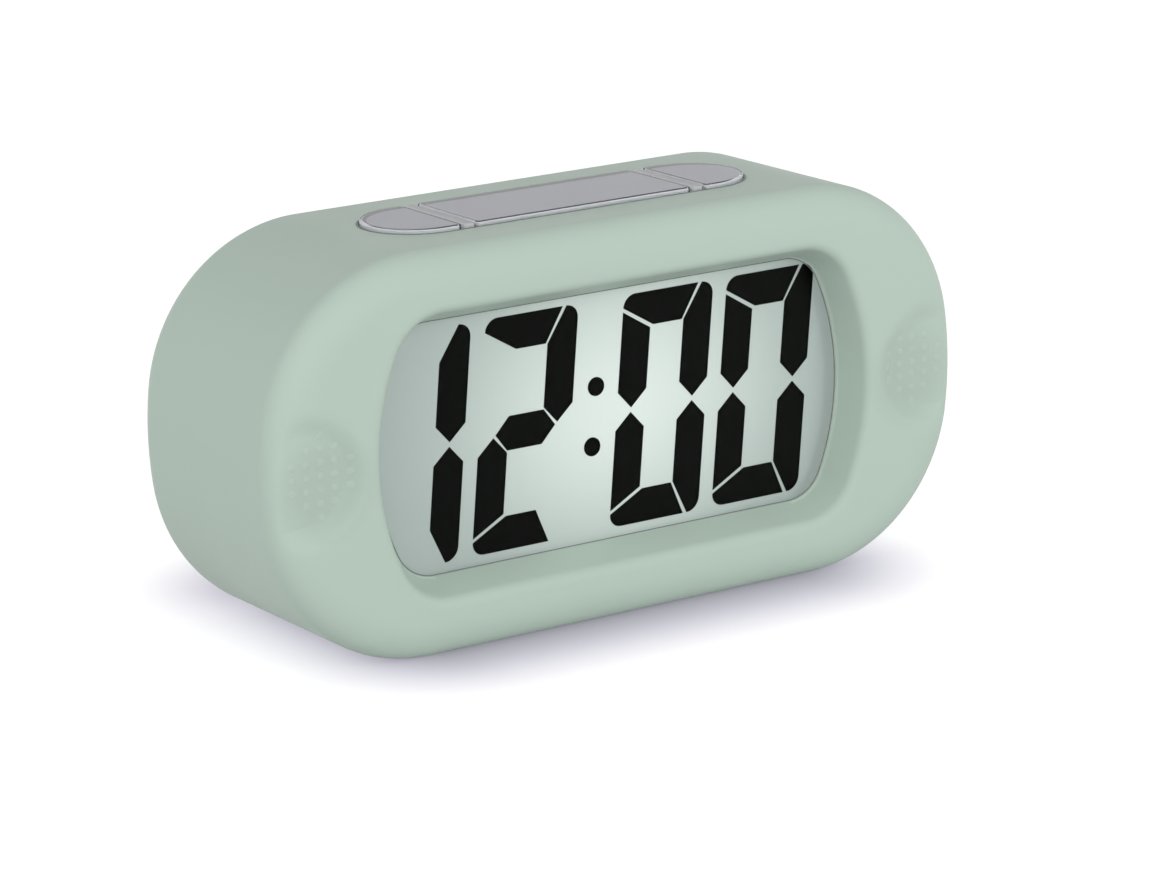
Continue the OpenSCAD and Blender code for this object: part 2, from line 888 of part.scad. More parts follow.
module quartz_crystal() {
    color([0.8, 0.8, 0.82])
        upright()
            translate([crystal_place[0], crystal_place[1], board_back_f - crystal_r])
                rotate([0, 90, 0])
                    rod(crystal_r, -crystal_l / 2, crystal_l / 2);
}

module capacitors() {
    color([0.2, 0.22, 0.4])
        upright()
            for (place = capacitor_places)
                translate([place[0], place[1], 0])
                    rod(capacitor_r, board_back_f - capacitor_h, board_back_f);
}

// Keys on the top

module key_board() {
    color([0.1, 0.4, 0.2])
        difference() {
            block(key_board_l, key_board_w, key_board_top - board_t, key_board_top);
            pair(key_post_x)
                rod(board_screw_r + fit_gap, key_board_top - board_t - past, key_board_top + past);
        }
}

module key_board_screws() {
    color([0.7, 0.7, 0.72])
        pair(key_post_x)
            translate([0, 0, key_board_top - board_t])
                board_screw(board_t + key_screw_bite);
}

// Tactile switch standing on z = 0, with a bore for its plunger
module tactile_switch(travel) {
    difference() {
        block(switch_w, switch_w, 0, switch_h);
        rod(plunger_r + run_gap, switch_h - plunger_deep - travel - loose_gap, switch_h + past);
    }
}

module switch_plunger() {
    rod(plunger_r, switch_h - plunger_deep, switch_h + plunger_h);
}

module key_switches() {
    color([0.15, 0.15, 0.16])
        for (x = [-end_switch_x, 0, end_switch_x])
            translate([x, 0, key_board_top])
                tactile_switch(key_travel);
}

module key_dividers() {
    color([0.66, 0.66, 0.69, 0.7])
        intersection() {
            pair((snooze_l + divider_w) / 2 + move_gap)
                box(
                    [-divider_w / 2, divider_w / 2],
                    [key_y - key_w / 2, key_y + key_w / 2],
                    [case_top, key_top - fit_gap]
                );
            pill(key_l, key_w, case_top, key_top);
        }
}

// One key between two places along the pill, with a stem over its switch
module key_between(from, to, stem_x) {
    span = [from, to];
    inner = [from + key_wall, to - key_wall];
    deep = [key_y - key_w, key_y + key_w];
    color([0.66, 0.66, 0.69, 0.7]) {
        difference() {
            union() {
                intersection() {
                    pill(key_l, key_w, key_bottom, key_top);
                    box(span, deep, [key_bottom, key_top]);
                }
                intersection() {
                    pill(key_l + 2 * flange_w, key_w + 2 * flange_w, key_bottom, flange_top);
                    box([from - flange_end, to + flange_end], deep, [key_bottom, flange_top]);
                }
            }
            intersection() {
                pill(key_l - 2 * key_wall, key_w - 2 * key_wall, key_bottom - past, key_top - key_roof);
                box(inner, deep, [key_bottom - past, key_top - key_roof]);
            }
        }
        translate([stem_x, 0, 0])
            rod(key_stem_r, key_bottom, key_top - key_roof + weld);
    }
}

module key_plunger(x) {
    color([0.85, 0.85, 0.85])
        translate([x, 0, key_board_top])
            switch_plunger();
}

module left_key() {
    key_between(-key_l / 2, -end_key_in, -end_switch_x);
}

module left_plunger() {
    key_plunger(-end_switch_x);
}

module snooze_key() {
    key_between(-snooze_l / 2, snooze_l / 2, 0);
}

module snooze_plunger() {
    key_plunger(0);
}

module right_key() {
    key_between(end_key_in, key_l / 2, end_switch_x);
}

module right_plunger() {
    key_plunger(end_switch_x);
}

module key_ribbon() {
    back = -board_back_f + ribbon_stand;
    foot = key_board_top - board_t - ribbon_drop;
    color([0.85, 0.85, 0.8]) {
        box([-ribbon_w / 2, ribbon_w / 2], [back, back + ribbon_t], [foot, key_board_top - board_t]);
        box([-ribbon_w / 2, ribbon_w / 2], [-board_back_f, back + ribbon_t], [foot, foot + ribbon_t]);
    }
}

// Rear controls

module control_board() {
    color([0.1, 0.4, 0.2])
        upright()
            translate([control_x, 0, 0])
                difference() {
                    box(
                        [-control_board_w / 2, control_board_w / 2],
                        [control_board_bottom, control_board_top],
                        [control_board_f, control_front_f]
                    );
                    translate([0, control_screw_y, 0])
                        pair(control_screw_x)
                            rod(board_screw_r + fit_gap, control_board_f - past, control_front_f + past);
                }
}

module control_board_screws() {
    color([0.7, 0.7, 0.72])
        upright()
            translate([control_x, control_screw_y, control_front_f])
                pair(control_screw_x)
                    mirror([0, 0, 1])
                        board_screw(board_t + control_screw_bite);
}

// Places what stands on the rear side of the control board, under one of its two buttons
module on_control_board(side) {
    upright()
        translate([control_x + side * button_pitch / 2, button_rise, control_board_f])
            mirror([0, 0, 1])
                children();
}

module control_switches() {
    color([0.15, 0.15, 0.16])
        for (side = [-1, 1])
            on_control_board(side)
                tactile_switch(button_travel);
}

module rear_button(side) {
    color([0.78, 0.8, 0.79])
        upright()
            translate([control_x + side * button_pitch / 2, button_rise, 0]) {
                rod(button_r, cap_f, button_in_f);
                rod(button_r + button_flange_w, button_flange_f, button_in_f);
            }
}

module rear_plunger(side) {
    color([0.85, 0.85, 0.85])
        on_control_board(side)
            switch_plunger();
}

module time_button() {
    rear_button(-1);
}

module time_plunger() {
    rear_plunger(-1);
}

module alarm_button() {
    rear_button(1);
}

module alarm_plunger() {
    rear_plunger(1);
}

module alarm_switch_body() {
    pocket = [knob_root[0] + slide_travel + 2 * move_gap, knob_root[1] + 2 * move_gap];
    pocket_floor = switch_h - slide_root_deep - move_gap;
    color([0.75, 0.75, 0.77])
        upright()
            translate([control_x, slide_rise, control_board_f])
                mirror([0, 0, 1])
                    difference() {
                        block(slide_body[0], slide_body[1], 0, switch_h);
                        block(pocket[0], pocket[1], pocket_floor, switch_h + past);
                    }
}

module alarm_switch_knob() {
    root_f = control_board_f - switch_h + slide_root_deep;
    color([0.78, 0.8, 0.79])
        upright()
            translate([knob_x, slide_rise, 0]) {
                block(knob_size[0], knob_size[1], cap_f, button_flange_f + knob_flange_t);
                block(slide_flange_l, knob_flange_h, button_flange_f, button_flange_f + knob_flange_t);
                block(knob_root[0], knob_root[1], button_flange_f, root_f);
            }
}

module control_ribbon() {
    color([0.85, 0.85, 0.8])
        upright()
            translate([control_x, control_ribbon_y, 0])
                box(
                    [-ribbon_w / 2, ribbon_w / 2],
                    [0, ribbon_t],
                    [control_front_f, board_back_f]
                );
}

// Speaker, drawn with its rim on z = 0

module at_speaker() {
    upright()
        translate([control_x, -speaker_drop, panel_in_f])
            children();
}

module speaker_basket() {
    body_r = speaker_r - speaker_flange_w;
    bottom = speaker_body_t + speaker_base_t;
    color([0.55, 0.56, 0.58])
        at_speaker()
            difference() {
                union() {
                    rod(speaker_r, 0, speaker_flange_t);
                    rod(body_r, 0, bottom);
                }
                rod(body_r - speaker_wall, -past, speaker_body_t);
            }
}

module speaker_cone() {
    cone_r = speaker_r - speaker_flange_w - speaker_wall - fit_gap / 2;
    roll_r = cone_r - 1.4;
    throat_r = 3;
    paper_t = 0.4;
    rim = 0.8;
    throat = 1.6;
    color([0.2, 0.2, 0.21])
        at_speaker()
            rotate_extrude()
                polygon([
                    [0, rim], [throat_r - paper_t, rim + paper_t], [throat_r, throat], [roll_r, rim],
                    [cone_r, rim], [cone_r, rim + paper_t], [roll_r + paper_t / 2, rim + paper_t],
                    [throat_r, throat + paper_t], [throat_r - 2 * paper_t, throat], [0, rim + paper_t]
                ]);
}

module speaker_magnet() {
    bottom = speaker_body_t + speaker_base_t;
    color([0.75, 0.75, 0.77])
        at_speaker()
            rod(speaker_magnet_r, bottom, bottom + speaker_magnet_t);
}

// A lead runs from a terminal up to the back of the main board
module lead(from, to, bow) {
    mid = (from + to) / 2 + bow;
    path = [
        from,
        from + [0, 0, lead_straight],
        (from + mid) / 2 + bow / 3,
        mid,
        (to + mid) / 2 + bow / 3,
        to - [0, 0, lead_straight],
        to
    ];
    tube(path, lead_r, lead_sides, [1, 0, 0]);
}

module speaker_leads() {
    from_f = panel_in_f + speaker_body_t + speaker_base_t + speaker_magnet_t;
    color([0.2, 0.2, 0.5])
        upright()
            translate([control_x, -speaker_drop, 0])
                pair(speaker_lead_x)
                    lead([0, 0, from_f], [0, 0, board_back_f], speaker_lead_bow);
}

module cell_lead(side) {
    lug = [bay_x + side * (bay_l - plate_t) / 2, cell_pitch, 0];
    top = lug - cell_lead_shift;
    upright()
        mirror([0, max(side, 0), 0])
            lead(lug + [0, 0, lug_f], top + [0, 0, board_back_f], cell_lead_bow);
}

module positive_lead() {
    color([0.75, 0.1, 0.1])
        cell_lead(-1);
}

module negative_lead() {
    color([0.12, 0.12, 0.12])
        cell_lead(1);
}

// Batteries. A row's cell points left, right, left, from the top down.

function points_left(row) = row != 1;

// Draws a row whose terminal points right, and turns it round where the terminal points left
module in_row(row) {
    upright()
        translate([bay_x, cell_rows[row], cell_f])
            rotate([0, 0, points_left(row) ? 180 : 0])
                children();
}

module cell(row) {
    top = bay_l / 2 - plate_t;
    nub_l = 0.8;
    nub_r = 1.9;
    color([0.2, 0.35, 0.3])
        in_row(row)
            rotate([0, 90, 0]) {
                rod(cell_r, top - cell_l, top - nub_l);
                rod(nub_r, top - nub_l - weld, top);
            }
}

module upper_cell() {
    cell(0);
}

module middle_cell() {
    cell(1);
}

module lower_cell() {
    cell(2);
}

// Conical spring from its plate towards the cell
spring_start = -bay_l / 2 + plate_t + spring_wire_r + spring_seat;
spring_end = bay_l / 2 - plate_t - cell_l - spring_wire_r - spring_seat;
spring_path = [
    for (i = [0 : spring_turns * curl_rings])
        let (
            t = i / (spring_turns * curl_rings),
            r = spring_big_r + (spring_small_r - spring_big_r) * t,
            a = 360 * i / curl_rings
        )
        [spring_start + (spring_end - spring_start) * t, r * cos(a), r * sin(a)]
];
spring_self_gap = min([
    for (i = [0 : len(spring_path) - 1], j = [i + curl_rings / 2 : 1 : len(spring_path) - 1])
        norm(spring_path[i] - spring_path[j]) - 2 * spring_wire_r
]);
echo(spring_self_gap = spring_self_gap);

module contact_springs() {
    color([0.8, 0.8, 0.82])
        for (row = [0 : 2])
            in_row(row)
                tube(spring_path, spring_wire_r, wire_sides, [1, 0, 0]);
}

// A plate at one end of a row, with a lug through the bay's floor where a lead is soldered to it
module end_plate(from, has_lug) {
    box([from, from + plate_t], [-plate_w / 2, plate_w / 2], [-plate_w / 2, plate_w / 2]);
    if (has_lug)
        box([from, from + plate_t], [-lug_w / 2, lug_w / 2], [0, lug_f - cell_f]);
}

module spring_plates() {
    color([0.8, 0.8, 0.82])
        for (row = [0 : 2])
            in_row(row)
                end_plate(-bay_l / 2, row == 2);
}

module button_plates() {
    color([0.8, 0.8, 0.82])
        for (row = [0 : 2])
            in_row(row)
                end_plate(bay_l / 2 - plate_t, row == 0);
}

module battery_door() {
    color([0.9, 0.9, 0.88])
        upright()
            translate([bay_x, 0, 0]) {
                difference() {
                    union() {
                        box([-door_l / 2, door_l / 2], [hinge_y, door_h / 2], [panel_f, door_in_f]);
                        box(
                            [-tongue_w / 2, tongue_w / 2],
                            [door_h / 2 - weld, door_h / 2 + tongue_h],
                            [door_in_f - tongue_t, door_in_f]
                        );
                    }
                    for (k = [0 : grip_ridges - 1])
                        translate([0, door_h / 2 - grip_inset - k * grip_pitch, 0])
                            box(
                                [-tongue_w / 2, tongue_w / 2],
                                [-grip_deep, grip_deep],
                                [panel_f - past, panel_f + grip_deep]
                            );
                }
                translate([0, hinge_y, hinge_f])
                    rotate([0, 90, 0]) {
                        rod(door_t / 2, -door_l / 2, door_l / 2);
                        rod(door_pin_r, -door_l / 2 - hinge_pin_l, door_l / 2 + hinge_pin_l);
                    }
            }
}

silicone_sleeve();
front_case();
rear_case();
case_screws();
display_lens();
lcd_glass();
lcd_segments();
lcd_holder();
light_guide();
backlight_leds();
zebra_strip();
main_board();
main_board_screws();
clock_chip();
quartz_crystal();
capacitors();
key_board();
key_board_screws();
key_switches();
key_dividers();
left_key();
left_plunger();
snooze_key();
snooze_plunger();
right_key();
right_plunger();
key_ribbon();
control_board();
control_board_screws();
control_switches();
time_button();
time_plunger();
alarm_button();
alarm_plunger();
alarm_switch_body();
alarm_switch_knob();
control_ribbon();
speaker_basket();
speaker_cone();
speaker_magnet();
speaker_leads();
battery_door();
upper_cell();
middle_cell();
lower_cell();
contact_springs();
spring_plates();
button_plates();
positive_lead();
negative_lead();
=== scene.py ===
"""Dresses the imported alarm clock: silicone sleeve, clear keys, display, rear controls and battery bay.

Lengths are in millimetres until a mesh is made, and depths run towards the front from the clock's middle.
"""
import math

import bmesh
import bpy
from mathutils import Matrix, Vector


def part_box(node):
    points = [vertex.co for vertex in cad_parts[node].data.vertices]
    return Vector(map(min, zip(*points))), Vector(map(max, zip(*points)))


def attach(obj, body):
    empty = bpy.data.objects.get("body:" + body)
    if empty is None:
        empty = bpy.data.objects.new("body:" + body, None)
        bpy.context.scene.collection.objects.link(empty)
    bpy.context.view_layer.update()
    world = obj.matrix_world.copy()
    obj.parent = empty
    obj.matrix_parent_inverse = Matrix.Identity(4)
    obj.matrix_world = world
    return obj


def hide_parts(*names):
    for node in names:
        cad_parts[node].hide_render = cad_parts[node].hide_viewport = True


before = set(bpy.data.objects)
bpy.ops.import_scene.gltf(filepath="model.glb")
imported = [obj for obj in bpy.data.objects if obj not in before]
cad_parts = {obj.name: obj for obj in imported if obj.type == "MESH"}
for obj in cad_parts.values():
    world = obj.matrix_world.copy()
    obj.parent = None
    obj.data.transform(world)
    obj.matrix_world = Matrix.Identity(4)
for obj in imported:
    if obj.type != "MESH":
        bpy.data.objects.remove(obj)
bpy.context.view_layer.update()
MM = 0.001


def span(node):
    """Lowest and highest corner of a CAD node in millimetres."""
    lo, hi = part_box(node)
    return lo / MM, hi / MM


# Sleeve
SLEEVE_LO, SLEEVE_HI = span("silicone_sleeve")
HALF_W = SLEEVE_HI.x
HALF_H = (SLEEVE_HI.z - SLEEVE_LO.z) / 2
HALF_D = SLEEVE_HI.y
MID_Z = HALF_H
CORNER_R = 30
SIDE_R = 66
FRONT_ROUND_W = 7
FRONT_ROUND_D = 5
REAR_ROUND = 4
REAR_BORDER = 11
SLEEVE_T = 2.5
SLEEVE_FRONT_T = 3
SLEEVE_REAR_T = 2
LIP_ROUND = 0.95

# Grip dimples and their dots
DIMPLE_X = 64.4
DIMPLE_R = 12.8
DIMPLE_EDGE = 4.4
DIMPLE_DEPTH = 1.35
DIMPLE_SQUASH = 1.08
DIMPLE_TILT = 0.35
DIMPLE_LEAN = 0.5
DIMPLE_BLEND = 0.4
DOT_X = 60.2
DOT_Y = 0.5
DOT_COLUMNS = range(-2, 3)
DOT_ROWS = range(-3, 4)
DOT_PITCH_X = 2.7
DOT_PITCH_Y = 2.3
DOT_REACH = 7
DOT_R = 0.7
DOT_FLAT_R = 0.1
DOT_RISE = 0.08
DOT_SINK = 0.02
DOT_ROOT = 0.3

# Painted shade on the silicone: a darker patch in the grip dimples, a weaker one on their dots, and darkening
# in hollows and recesses
GRIP_X = 59.2
GRIP_Z = MID_Z - 1.5
GRIP_INNER = 5
GRIP_OUTER = 10
GRIP_SHADE = 0.91
DOT_SHADE = 0.94
HOLLOW_REACH = 8.0
HOLLOW_SHADE = 0.84
HOLLOW_RANGE = (0.72, 0.97)

# Window
LENS_LO, LENS_HI = span("display_lens")
LENS_BORDER = 2
LENS_CORNER_R = 7.6
LENS_SIDE_R = 42.5
LENS_F = -LENS_LO.y
BEVEL_W = 2.8
COLLAR_W = 5.2
RIM = 1.5
TOE = 0.3
TOE_GAP = 0.25
# Dark bead of painted shade in the gap between the bevel and the lens
LENS_SHADE_BEAD_R = 0.09
LENS_SHADE_BEAD_F = 0.08

# Painted glow on the display, which is no lamp: its brightest place and how far it reaches, and its shares in
# the colour and in the emission
GLOW_X = 3.5
GLOW_Z = MID_Z + 1
GLOW_HALF_W = 49
GLOW_HALF_H = 38
GROUND_SHARE = 0.56
GLOW_SHARE = 0.5

# Keys
MOVE_GAP = 0.3
KEY_LO, KEY_HI = span("left_key")
SNOOZE_HI = span("snooze_key")[1]
DIVIDER_LO, DIVIDER_HI = span("key_dividers")
FLANGE_W = 1.2
FLANGE_T = 1.2
FLANGE_END = 0.9
KEY_R = (DIVIDER_HI.y - DIVIDER_LO.y) / 2
KEY_Y = (DIVIDER_HI.y + DIVIDER_LO.y) / 2
KEY_HALF_L = -KEY_LO.x - FLANGE_W
KEY_CUT_X = KEY_HI.x - FLANGE_END
SNOOZE_HALF_L = SNOOZE_HI.x - FLANGE_END
DIVIDER_W = 2
DIVIDER_GAP = 0.05
DIVIDER_CORNER = 0.5
DIVIDER_FOOT = 0.1
DIVIDER_EDGE = 0.35
KEY_EDGE = 0.35
KEY_CORNER = 1.1
KEY_ROOF = 0.3
KEY_WALL = 0.45
# Widths of the painted shade line round the keys' print, wider at the back
PRINT_SHADE_LINE = 0.08
BACK_SHADE_LINE = 1.3
PRINT_T = 0.05
CORE_LAP = 0.08
CORE_EDGE = 0.2
SHOULDER_DROP = 0.5
CAP_SKIRT = 1
OPENING_EDGE = 0.5
# Dark bead of painted shade in the gap round the keys' opening
OPENING_SHADE_BEAD_R = 0.17
OPENING_SHADE_BEAD_OUT = 0.35
OPENING_SHADE_BEAD_DROP = 0.1

# Rear controls
CONTROL_FLANGE_T = 1
BUTTON_FLANGE_W = 1.2
BUTTON_EDGE = 0.7
BUTTON_DISH = 0.25
BUTTON_DISH_W = 2
KNOB_LO, KNOB_HI = span("alarm_switch_knob")
KNOB_W = 3.4
KNOB_H = 2.6
KNOB_ROOT_W = 2.4
KNOB_ROOT_H = 1.2
KNOB_FLANGE_T = 0.8
KNOB_RIDGES = 3
KNOB_RIDGE_H = 0.45
KNOB_RIDGE_SHARE = 0.6
KNOB_RIDGE_SHORT = 0.5
KNOB_RIDGE_CORNER = 0.25
KNOB_RIDGE_EDGE = 0.2
KNOB_LAP = 0.2
KNOB_MARGIN = 0.6

# Battery bay
DOOR_LO, DOOR_HI = span("battery_door")
BAY_LO, BAY_HI = span("spring_plates")
PLATE_T = 0.4
DOOR_PIN_L = 1.2
DOOR_PIN_R = 0.6
DOOR_PIN_LAP = 0.5
DOOR_EDGE = 0.4
DOOR_END_EDGE = 0.36
TONGUE_W = 10
TONGUE_H = 1.2
TONGUE_T = 1.2
TONGUE_LAP = 1
GROOVES = 4
GROOVE_PITCH = 1.7
GROOVE_INSET = 2
GROOVE_R = 0.5
GROOVE_CORNER = 0.45
GROOVE_SLOPE = 0.3
GROOVE_LAP = 0.2
GROOVE_FLARE = 0.15
CELL_NUB_R = 1.9
CELL_NUB_L = 0.8
CELL_BAND_L = 9
SPRING_WIRE_R = 0.3
SPRING_TUBE_R = 0.285
SPRING_BIG_R = 3.6
SPRING_SMALL_R = 2.1
SPRING_TURNS = 4
SPRING_CLOSED = 0.75
SPRING_STEPS = 28

# Inside
LEAD_R = 0.6
LEAD_ROOM = 0.7
LEAD_RUN = 2
LEAD_BOW = 0.1
SPEAKER_LEAD_RUN = 3
RIBBON_T = 0.35
RIBBON_ROOM = 0.3
PAPER_T = 0.3
CONE_CAP_R = 3
CONE_ROLL = 1.5
CONE_RIM = 0.3
CONE_LIFT = 0.05
CONE_ROLL_RISE = 0.35


# Outlines and sections

def spread(start, end, steps):
    return [start + (end - start) * k / steps for k in range(steps + 1)]


def ring(arcs, grow=0.0, flat_steps=1):
    """Points of an outline of arcs (centre x, centre y, radius, from, to, steps), all radii grown alike."""
    runs = []
    for cx, cy, r, start, end, steps in arcs:
        turns = [math.radians(a) for a in spread(start, end, steps)]
        runs.append([(cx + (r + grow) * math.cos(a), cy + (r + grow) * math.sin(a)) for a in turns])
    points = []
    for run, following in zip(runs, runs[1:] + runs[:1]):
        (x0, y0), (x1, y1) = run[-1], following[0]
        if math.hypot(x1 - x0, y1 - y0) < 1e-6:
            points += run[:-1]
            continue
        points += run
        for k in range(1, flat_steps):
            points.append((x0 + (x1 - x0) * k / flat_steps, y0 + (y1 - y0) * k / flat_steps))
    return points


def bowed(half_w, half_h, corner_r, side_r, side_steps=88, corner_steps=32):
    """Outline with a flat top and bottom, round corners and bowed sides."""
    cy = half_h - corner_r
    sx = half_w - side_r
    cx = sx + math.sqrt((side_r - corner_r) ** 2 - cy ** 2)
    turn = math.degrees(math.atan2(cy, cx - sx))
    return [
        (sx, 0, side_r, -turn, turn, side_steps),
        (cx, cy, corner_r, turn, 90, corner_steps),
        (-cx, cy, corner_r, 90, 180 - turn, corner_steps),
        (-sx, 0, side_r, 180 - turn, 180 + turn, side_steps),
        (-cx, -cy, corner_r, 180 + turn, 270, corner_steps),
        (cx, -cy, corner_r, 270, 360 - turn, corner_steps),
    ]


def rounded_rect(x0, x1, y0, y1, r, steps=6):
    return [
        (x1 - r, y1 - r, r, 0, 90, steps),
        (x0 + r, y1 - r, r, 90, 180, steps),
        (x0 + r, y0 + r, r, 180, 270, steps),
        (x1 - r, y0 + r, r, 270, 360, steps),
    ]


def circle(cx, cy, r, steps=48):
    return [(cx, cy, r, 0, 360 - 360 / steps, steps - 1)]


def pill(half_l, r, cy, steps=32):
    end = half_l - r
    return [(end, cy, r, -90, 90, steps), (-end, cy, r, 90, 270, steps)]


def end_key(half_l, cut_x, r, cy, corner, side):
    """Half of a pill, from its round end to a straight cut; side is -1 on the left and 1 on the right."""
    end = half_l - r
    if side > 0:
        return [
            (end, cy, r, -90, 90, 32),
            (cut_x + corner, cy + r - corner, corner, 90, 180, 6),
            (cut_x + corner, cy - r + corner, corner, 180, 270, 6),
        ]
    return [
        (-end, cy, r, 90, 270, 32),
        (-cut_x - corner, cy - r + corner, corner, 270, 360, 6),
        (-cut_x - corner, cy + r - corner, corner, 0, 90, 6),
    ]


def quarter(start, end, first, steps):
    """Quarter of an ellipse from start to end, leaving start along axis first: 0 is out, 1 is up."""
    points = []
    for k in range(steps + 1):
        a = math.pi / 2 * k / steps
        share = (math.sin(a), 1 - math.cos(a))
        if first == 1:
            share = share[::-1]
        points.append(tuple(s + (e - s) * t for s, e, t in zip(start, end, share)))
    return points


def eased(start, corner, end, steps):
    """Parabola from start to end that is tangent to both sides of a corner."""
    return [
        tuple((1 - t) ** 2 * s + 2 * t * (1 - t) * c + t * t * e for s, c, e in zip(start, corner, end))
        for t in spread(0, 1, steps)
    ]


def line(start, end, steps):
    return [tuple(s + (e - s) * t for s, e in zip(start, end)) for t in spread(0, 1, steps)]


def chain(*parts):
    """Joins paths, without the points that repeat."""
    path = []
    for point in (p for part in parts for p in part):
        if not path or max(abs(a - b) for a, b in zip(path[-1], point)) > 1e-6:
            path.append(point)
    return path


def rounded(h0, h1, r0, r1, steps=5):
    """Section of a slab from h0 up to h1 with round edges."""
    return chain(quarter((-r0, h0), (0, h0 + r0), 0, steps), quarter((0, h1 - r1), (-r1, h1), 1, steps))


# Places: each takes the two coordinates of an outline and a height along the third

def facing(x, y, f):
    """Outline seen from the front, f towards the front."""
    return Vector((x, -f, y + MID_Z)) * MM


def lying(x, y, z):
    """Outline seen from above, z up."""
    return Vector((x, y, z)) * MM


def along(y, z, x):
    """Outline seen along the clock's width."""
    return Vector((x, y, z)) * MM


# Meshes

def skin(bm, rings, slots=None):
    """Joins rings of vertices to a closed solid; slots gives each stretch's material, from cap to cap."""
    n = len(rings[0])
    slots = slots or [0] * (len(rings) + 1)
    bm.faces.new(rings[0]).material_index = slots[0]
    bm.faces.new(rings[-1]).material_index = slots[-1]
    for lower, upper, index in zip(rings, rings[1:], slots[1:]):
        for j in range(n):
            k = (j + 1) % n
            bm.faces.new((lower[j], lower[k], upper[k], upper[j])).material_index = index


def sweep(bm, arcs, section, place, slots=None):
    """Adds a closed solid whose outline grows by u at height h for each (u, h) of section."""
    skin(bm, [[bm.verts.new(place(x, y, h)) for x, y in ring(arcs, u)] for u, h in section], slots)


def tube(bm, points, radius, sides=10, material_index=0):
    """Adds a round wire along points, in millimetres."""
    path = [Vector(p) for p in points]
    last = len(path) - 1
    turns = [2 * math.pi * k / sides for k in range(sides)]
    normal = None
    rings = []
    for i, p in enumerate(path):
        ahead = (path[min(i + 1, last)] - path[max(i - 1, 0)]).normalized()
        if normal is None:
            normal = ahead.orthogonal()
        normal = (normal - ahead * normal.dot(ahead)).normalized()
        side = ahead.cross(normal)
        spokes = [normal * math.cos(a) + side * math.sin(a) for a in turns]
        rings.append([bm.verts.new((p + spoke * radius) * MM) for spoke in spokes])
    skin(bm, rings, [material_index] * (len(rings) + 1))


def smooth_path(points, steps):
    """Catmull-Rom curve through points."""
    p = [Vector(q) for q in points]
    p = [2 * p[0] - p[1]] + p + [2 * p[-1] - p[-2]]
    path = []
    for a, b, c, d in zip(p, p[1:], p[2:], p[3:]):
        for t in spread(0, 1, steps)[:-1]:
            path.append(0.5 * (2 * b + (c - a) * t + (2 * a - 5 * b + 4 * c - d) * t ** 2
                               + (3 * b - a - 3 * c + d) * t ** 3))
    return path + [p[-2]]


def piece(name, bm, materials, body, replaces=(), sharp=40):
    """Turns a bmesh into a smooth-shaded piece that rides on a body."""
    bmesh.ops.recalc_face_normals(bm, faces=bm.faces[:])
    mesh = bpy.data.meshes.new(name)
    bm.to_mesh(mesh)
    bm.free()
    mesh.shade_smooth()
    mesh.set_sharp_from_angle(angle=math.radians(sharp))
    for m in materials:
        mesh.materials.append(m)
    obj = bpy.data.objects.new(name, mesh)
    bpy.context.scene.collection.objects.link(obj)
    weighted = obj.modifiers.new("Weighted", "WEIGHTED_NORMAL")
    weighted.keep_sharp = True
    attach(obj, body)
    if replaces:
        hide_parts(*replaces)


# Materials

def srgb(r, g, b):
    """Linear colour of an 8-bit screen colour."""
    parts = [c / 255 for c in (r, g, b)]
    return [c / 12.92 if c <= 0.04045 else ((c + 0.055) / 1.055) ** 2.4 for c in parts]


def shaded(colour, factor):
    return (*[min(c * factor, 1.0) for c in colour[:3]], 1.0)


class Nodes:
    """Short-hand for building a node tree."""

    def __init__(self, tree):
        self.tree = tree
        tree.nodes.clear()

    def add(self, kind, inputs=None, **settings):
        node = self.tree.nodes.new(kind)
        for key, value in settings.items():
            setattr(node, key, value)
        for key, value in (inputs or {}).items():
            if hasattr(value, "is_output"):
                self.tree.links.new(value, node.inputs[key])
            else:
                node.inputs[key].default_value = value
        return node

    def place(self):
        """Place on the object, in metres."""
        return self.add("ShaderNodeTexCoord").outputs["Object"]

    def noise(self, scale, detail=3.0):
        """Noise with about one blotch per scale millimetres."""
        inputs = {"Vector": self.place(), "Scale": 1 / (scale * MM), "Detail": detail}
        return self.add("ShaderNodeTexNoise", inputs).outputs["Fac"]

    def calc(self, operation, a, b):
        return self.add("ShaderNodeMath", {0: a, 1: b}, operation=operation).outputs[0]

    def vector(self, operation, a, b=(0, 0, 0), output="Vector"):
        return self.add("ShaderNodeVectorMath", {0: a, 1: b}, operation=operation).outputs[output]

    def smooth(self, value, start, end):
        """0 up to start and 1 from end, with a soft step between them."""
        inputs = {"Value": value, "From Min": start, "From Max": end}
        return self.add("ShaderNodeMapRange", inputs, interpolation_type="SMOOTHSTEP").outputs["Result"]

    def remap(self, value, low, high, start=0.3, end=0.7):
        node = self.add("ShaderNodeMapRange", {
            "Value": value, "From Min": start, "From Max": end, "To Min": low, "To Max": high})
        return node.outputs["Result"]


def new_material(name):
    material = bpy.data.materials.new(name)
    material.use_nodes = True
    return material, Nodes(material.node_tree)


def mix_colour(nodes, factor, a, b):
    return nodes.add("ShaderNodeMix", {0: factor, 6: a, 7: b}, data_type="RGBA").outputs[2]


def shaded_by(nodes, colour, factor):
    node = nodes.add("ShaderNodeVectorMath", {0: colour, "Scale": factor}, operation="SCALE")
    return node.outputs["Vector"]


def painted_dimple_shade(nodes, level):
    """Factor of painted shade that darkens the silicone's colour in the grip dimples, down to level."""
    place = nodes.place()
    centre = (GRIP_X * MM, HALF_D * MM, GRIP_Z * MM)
    away = nodes.vector("DISTANCE", nodes.vector("ABSOLUTE", place), centre, "Value")
    depth = nodes.add("ShaderNodeSeparateXYZ", {0: place}).outputs["Y"]
    behind = nodes.calc("GREATER_THAN", depth, 0.0)
    clear = nodes.remap(away, level, 1.0, GRIP_INNER * MM, GRIP_OUTER * MM)
    return nodes.calc("MAXIMUM", clear, behind)


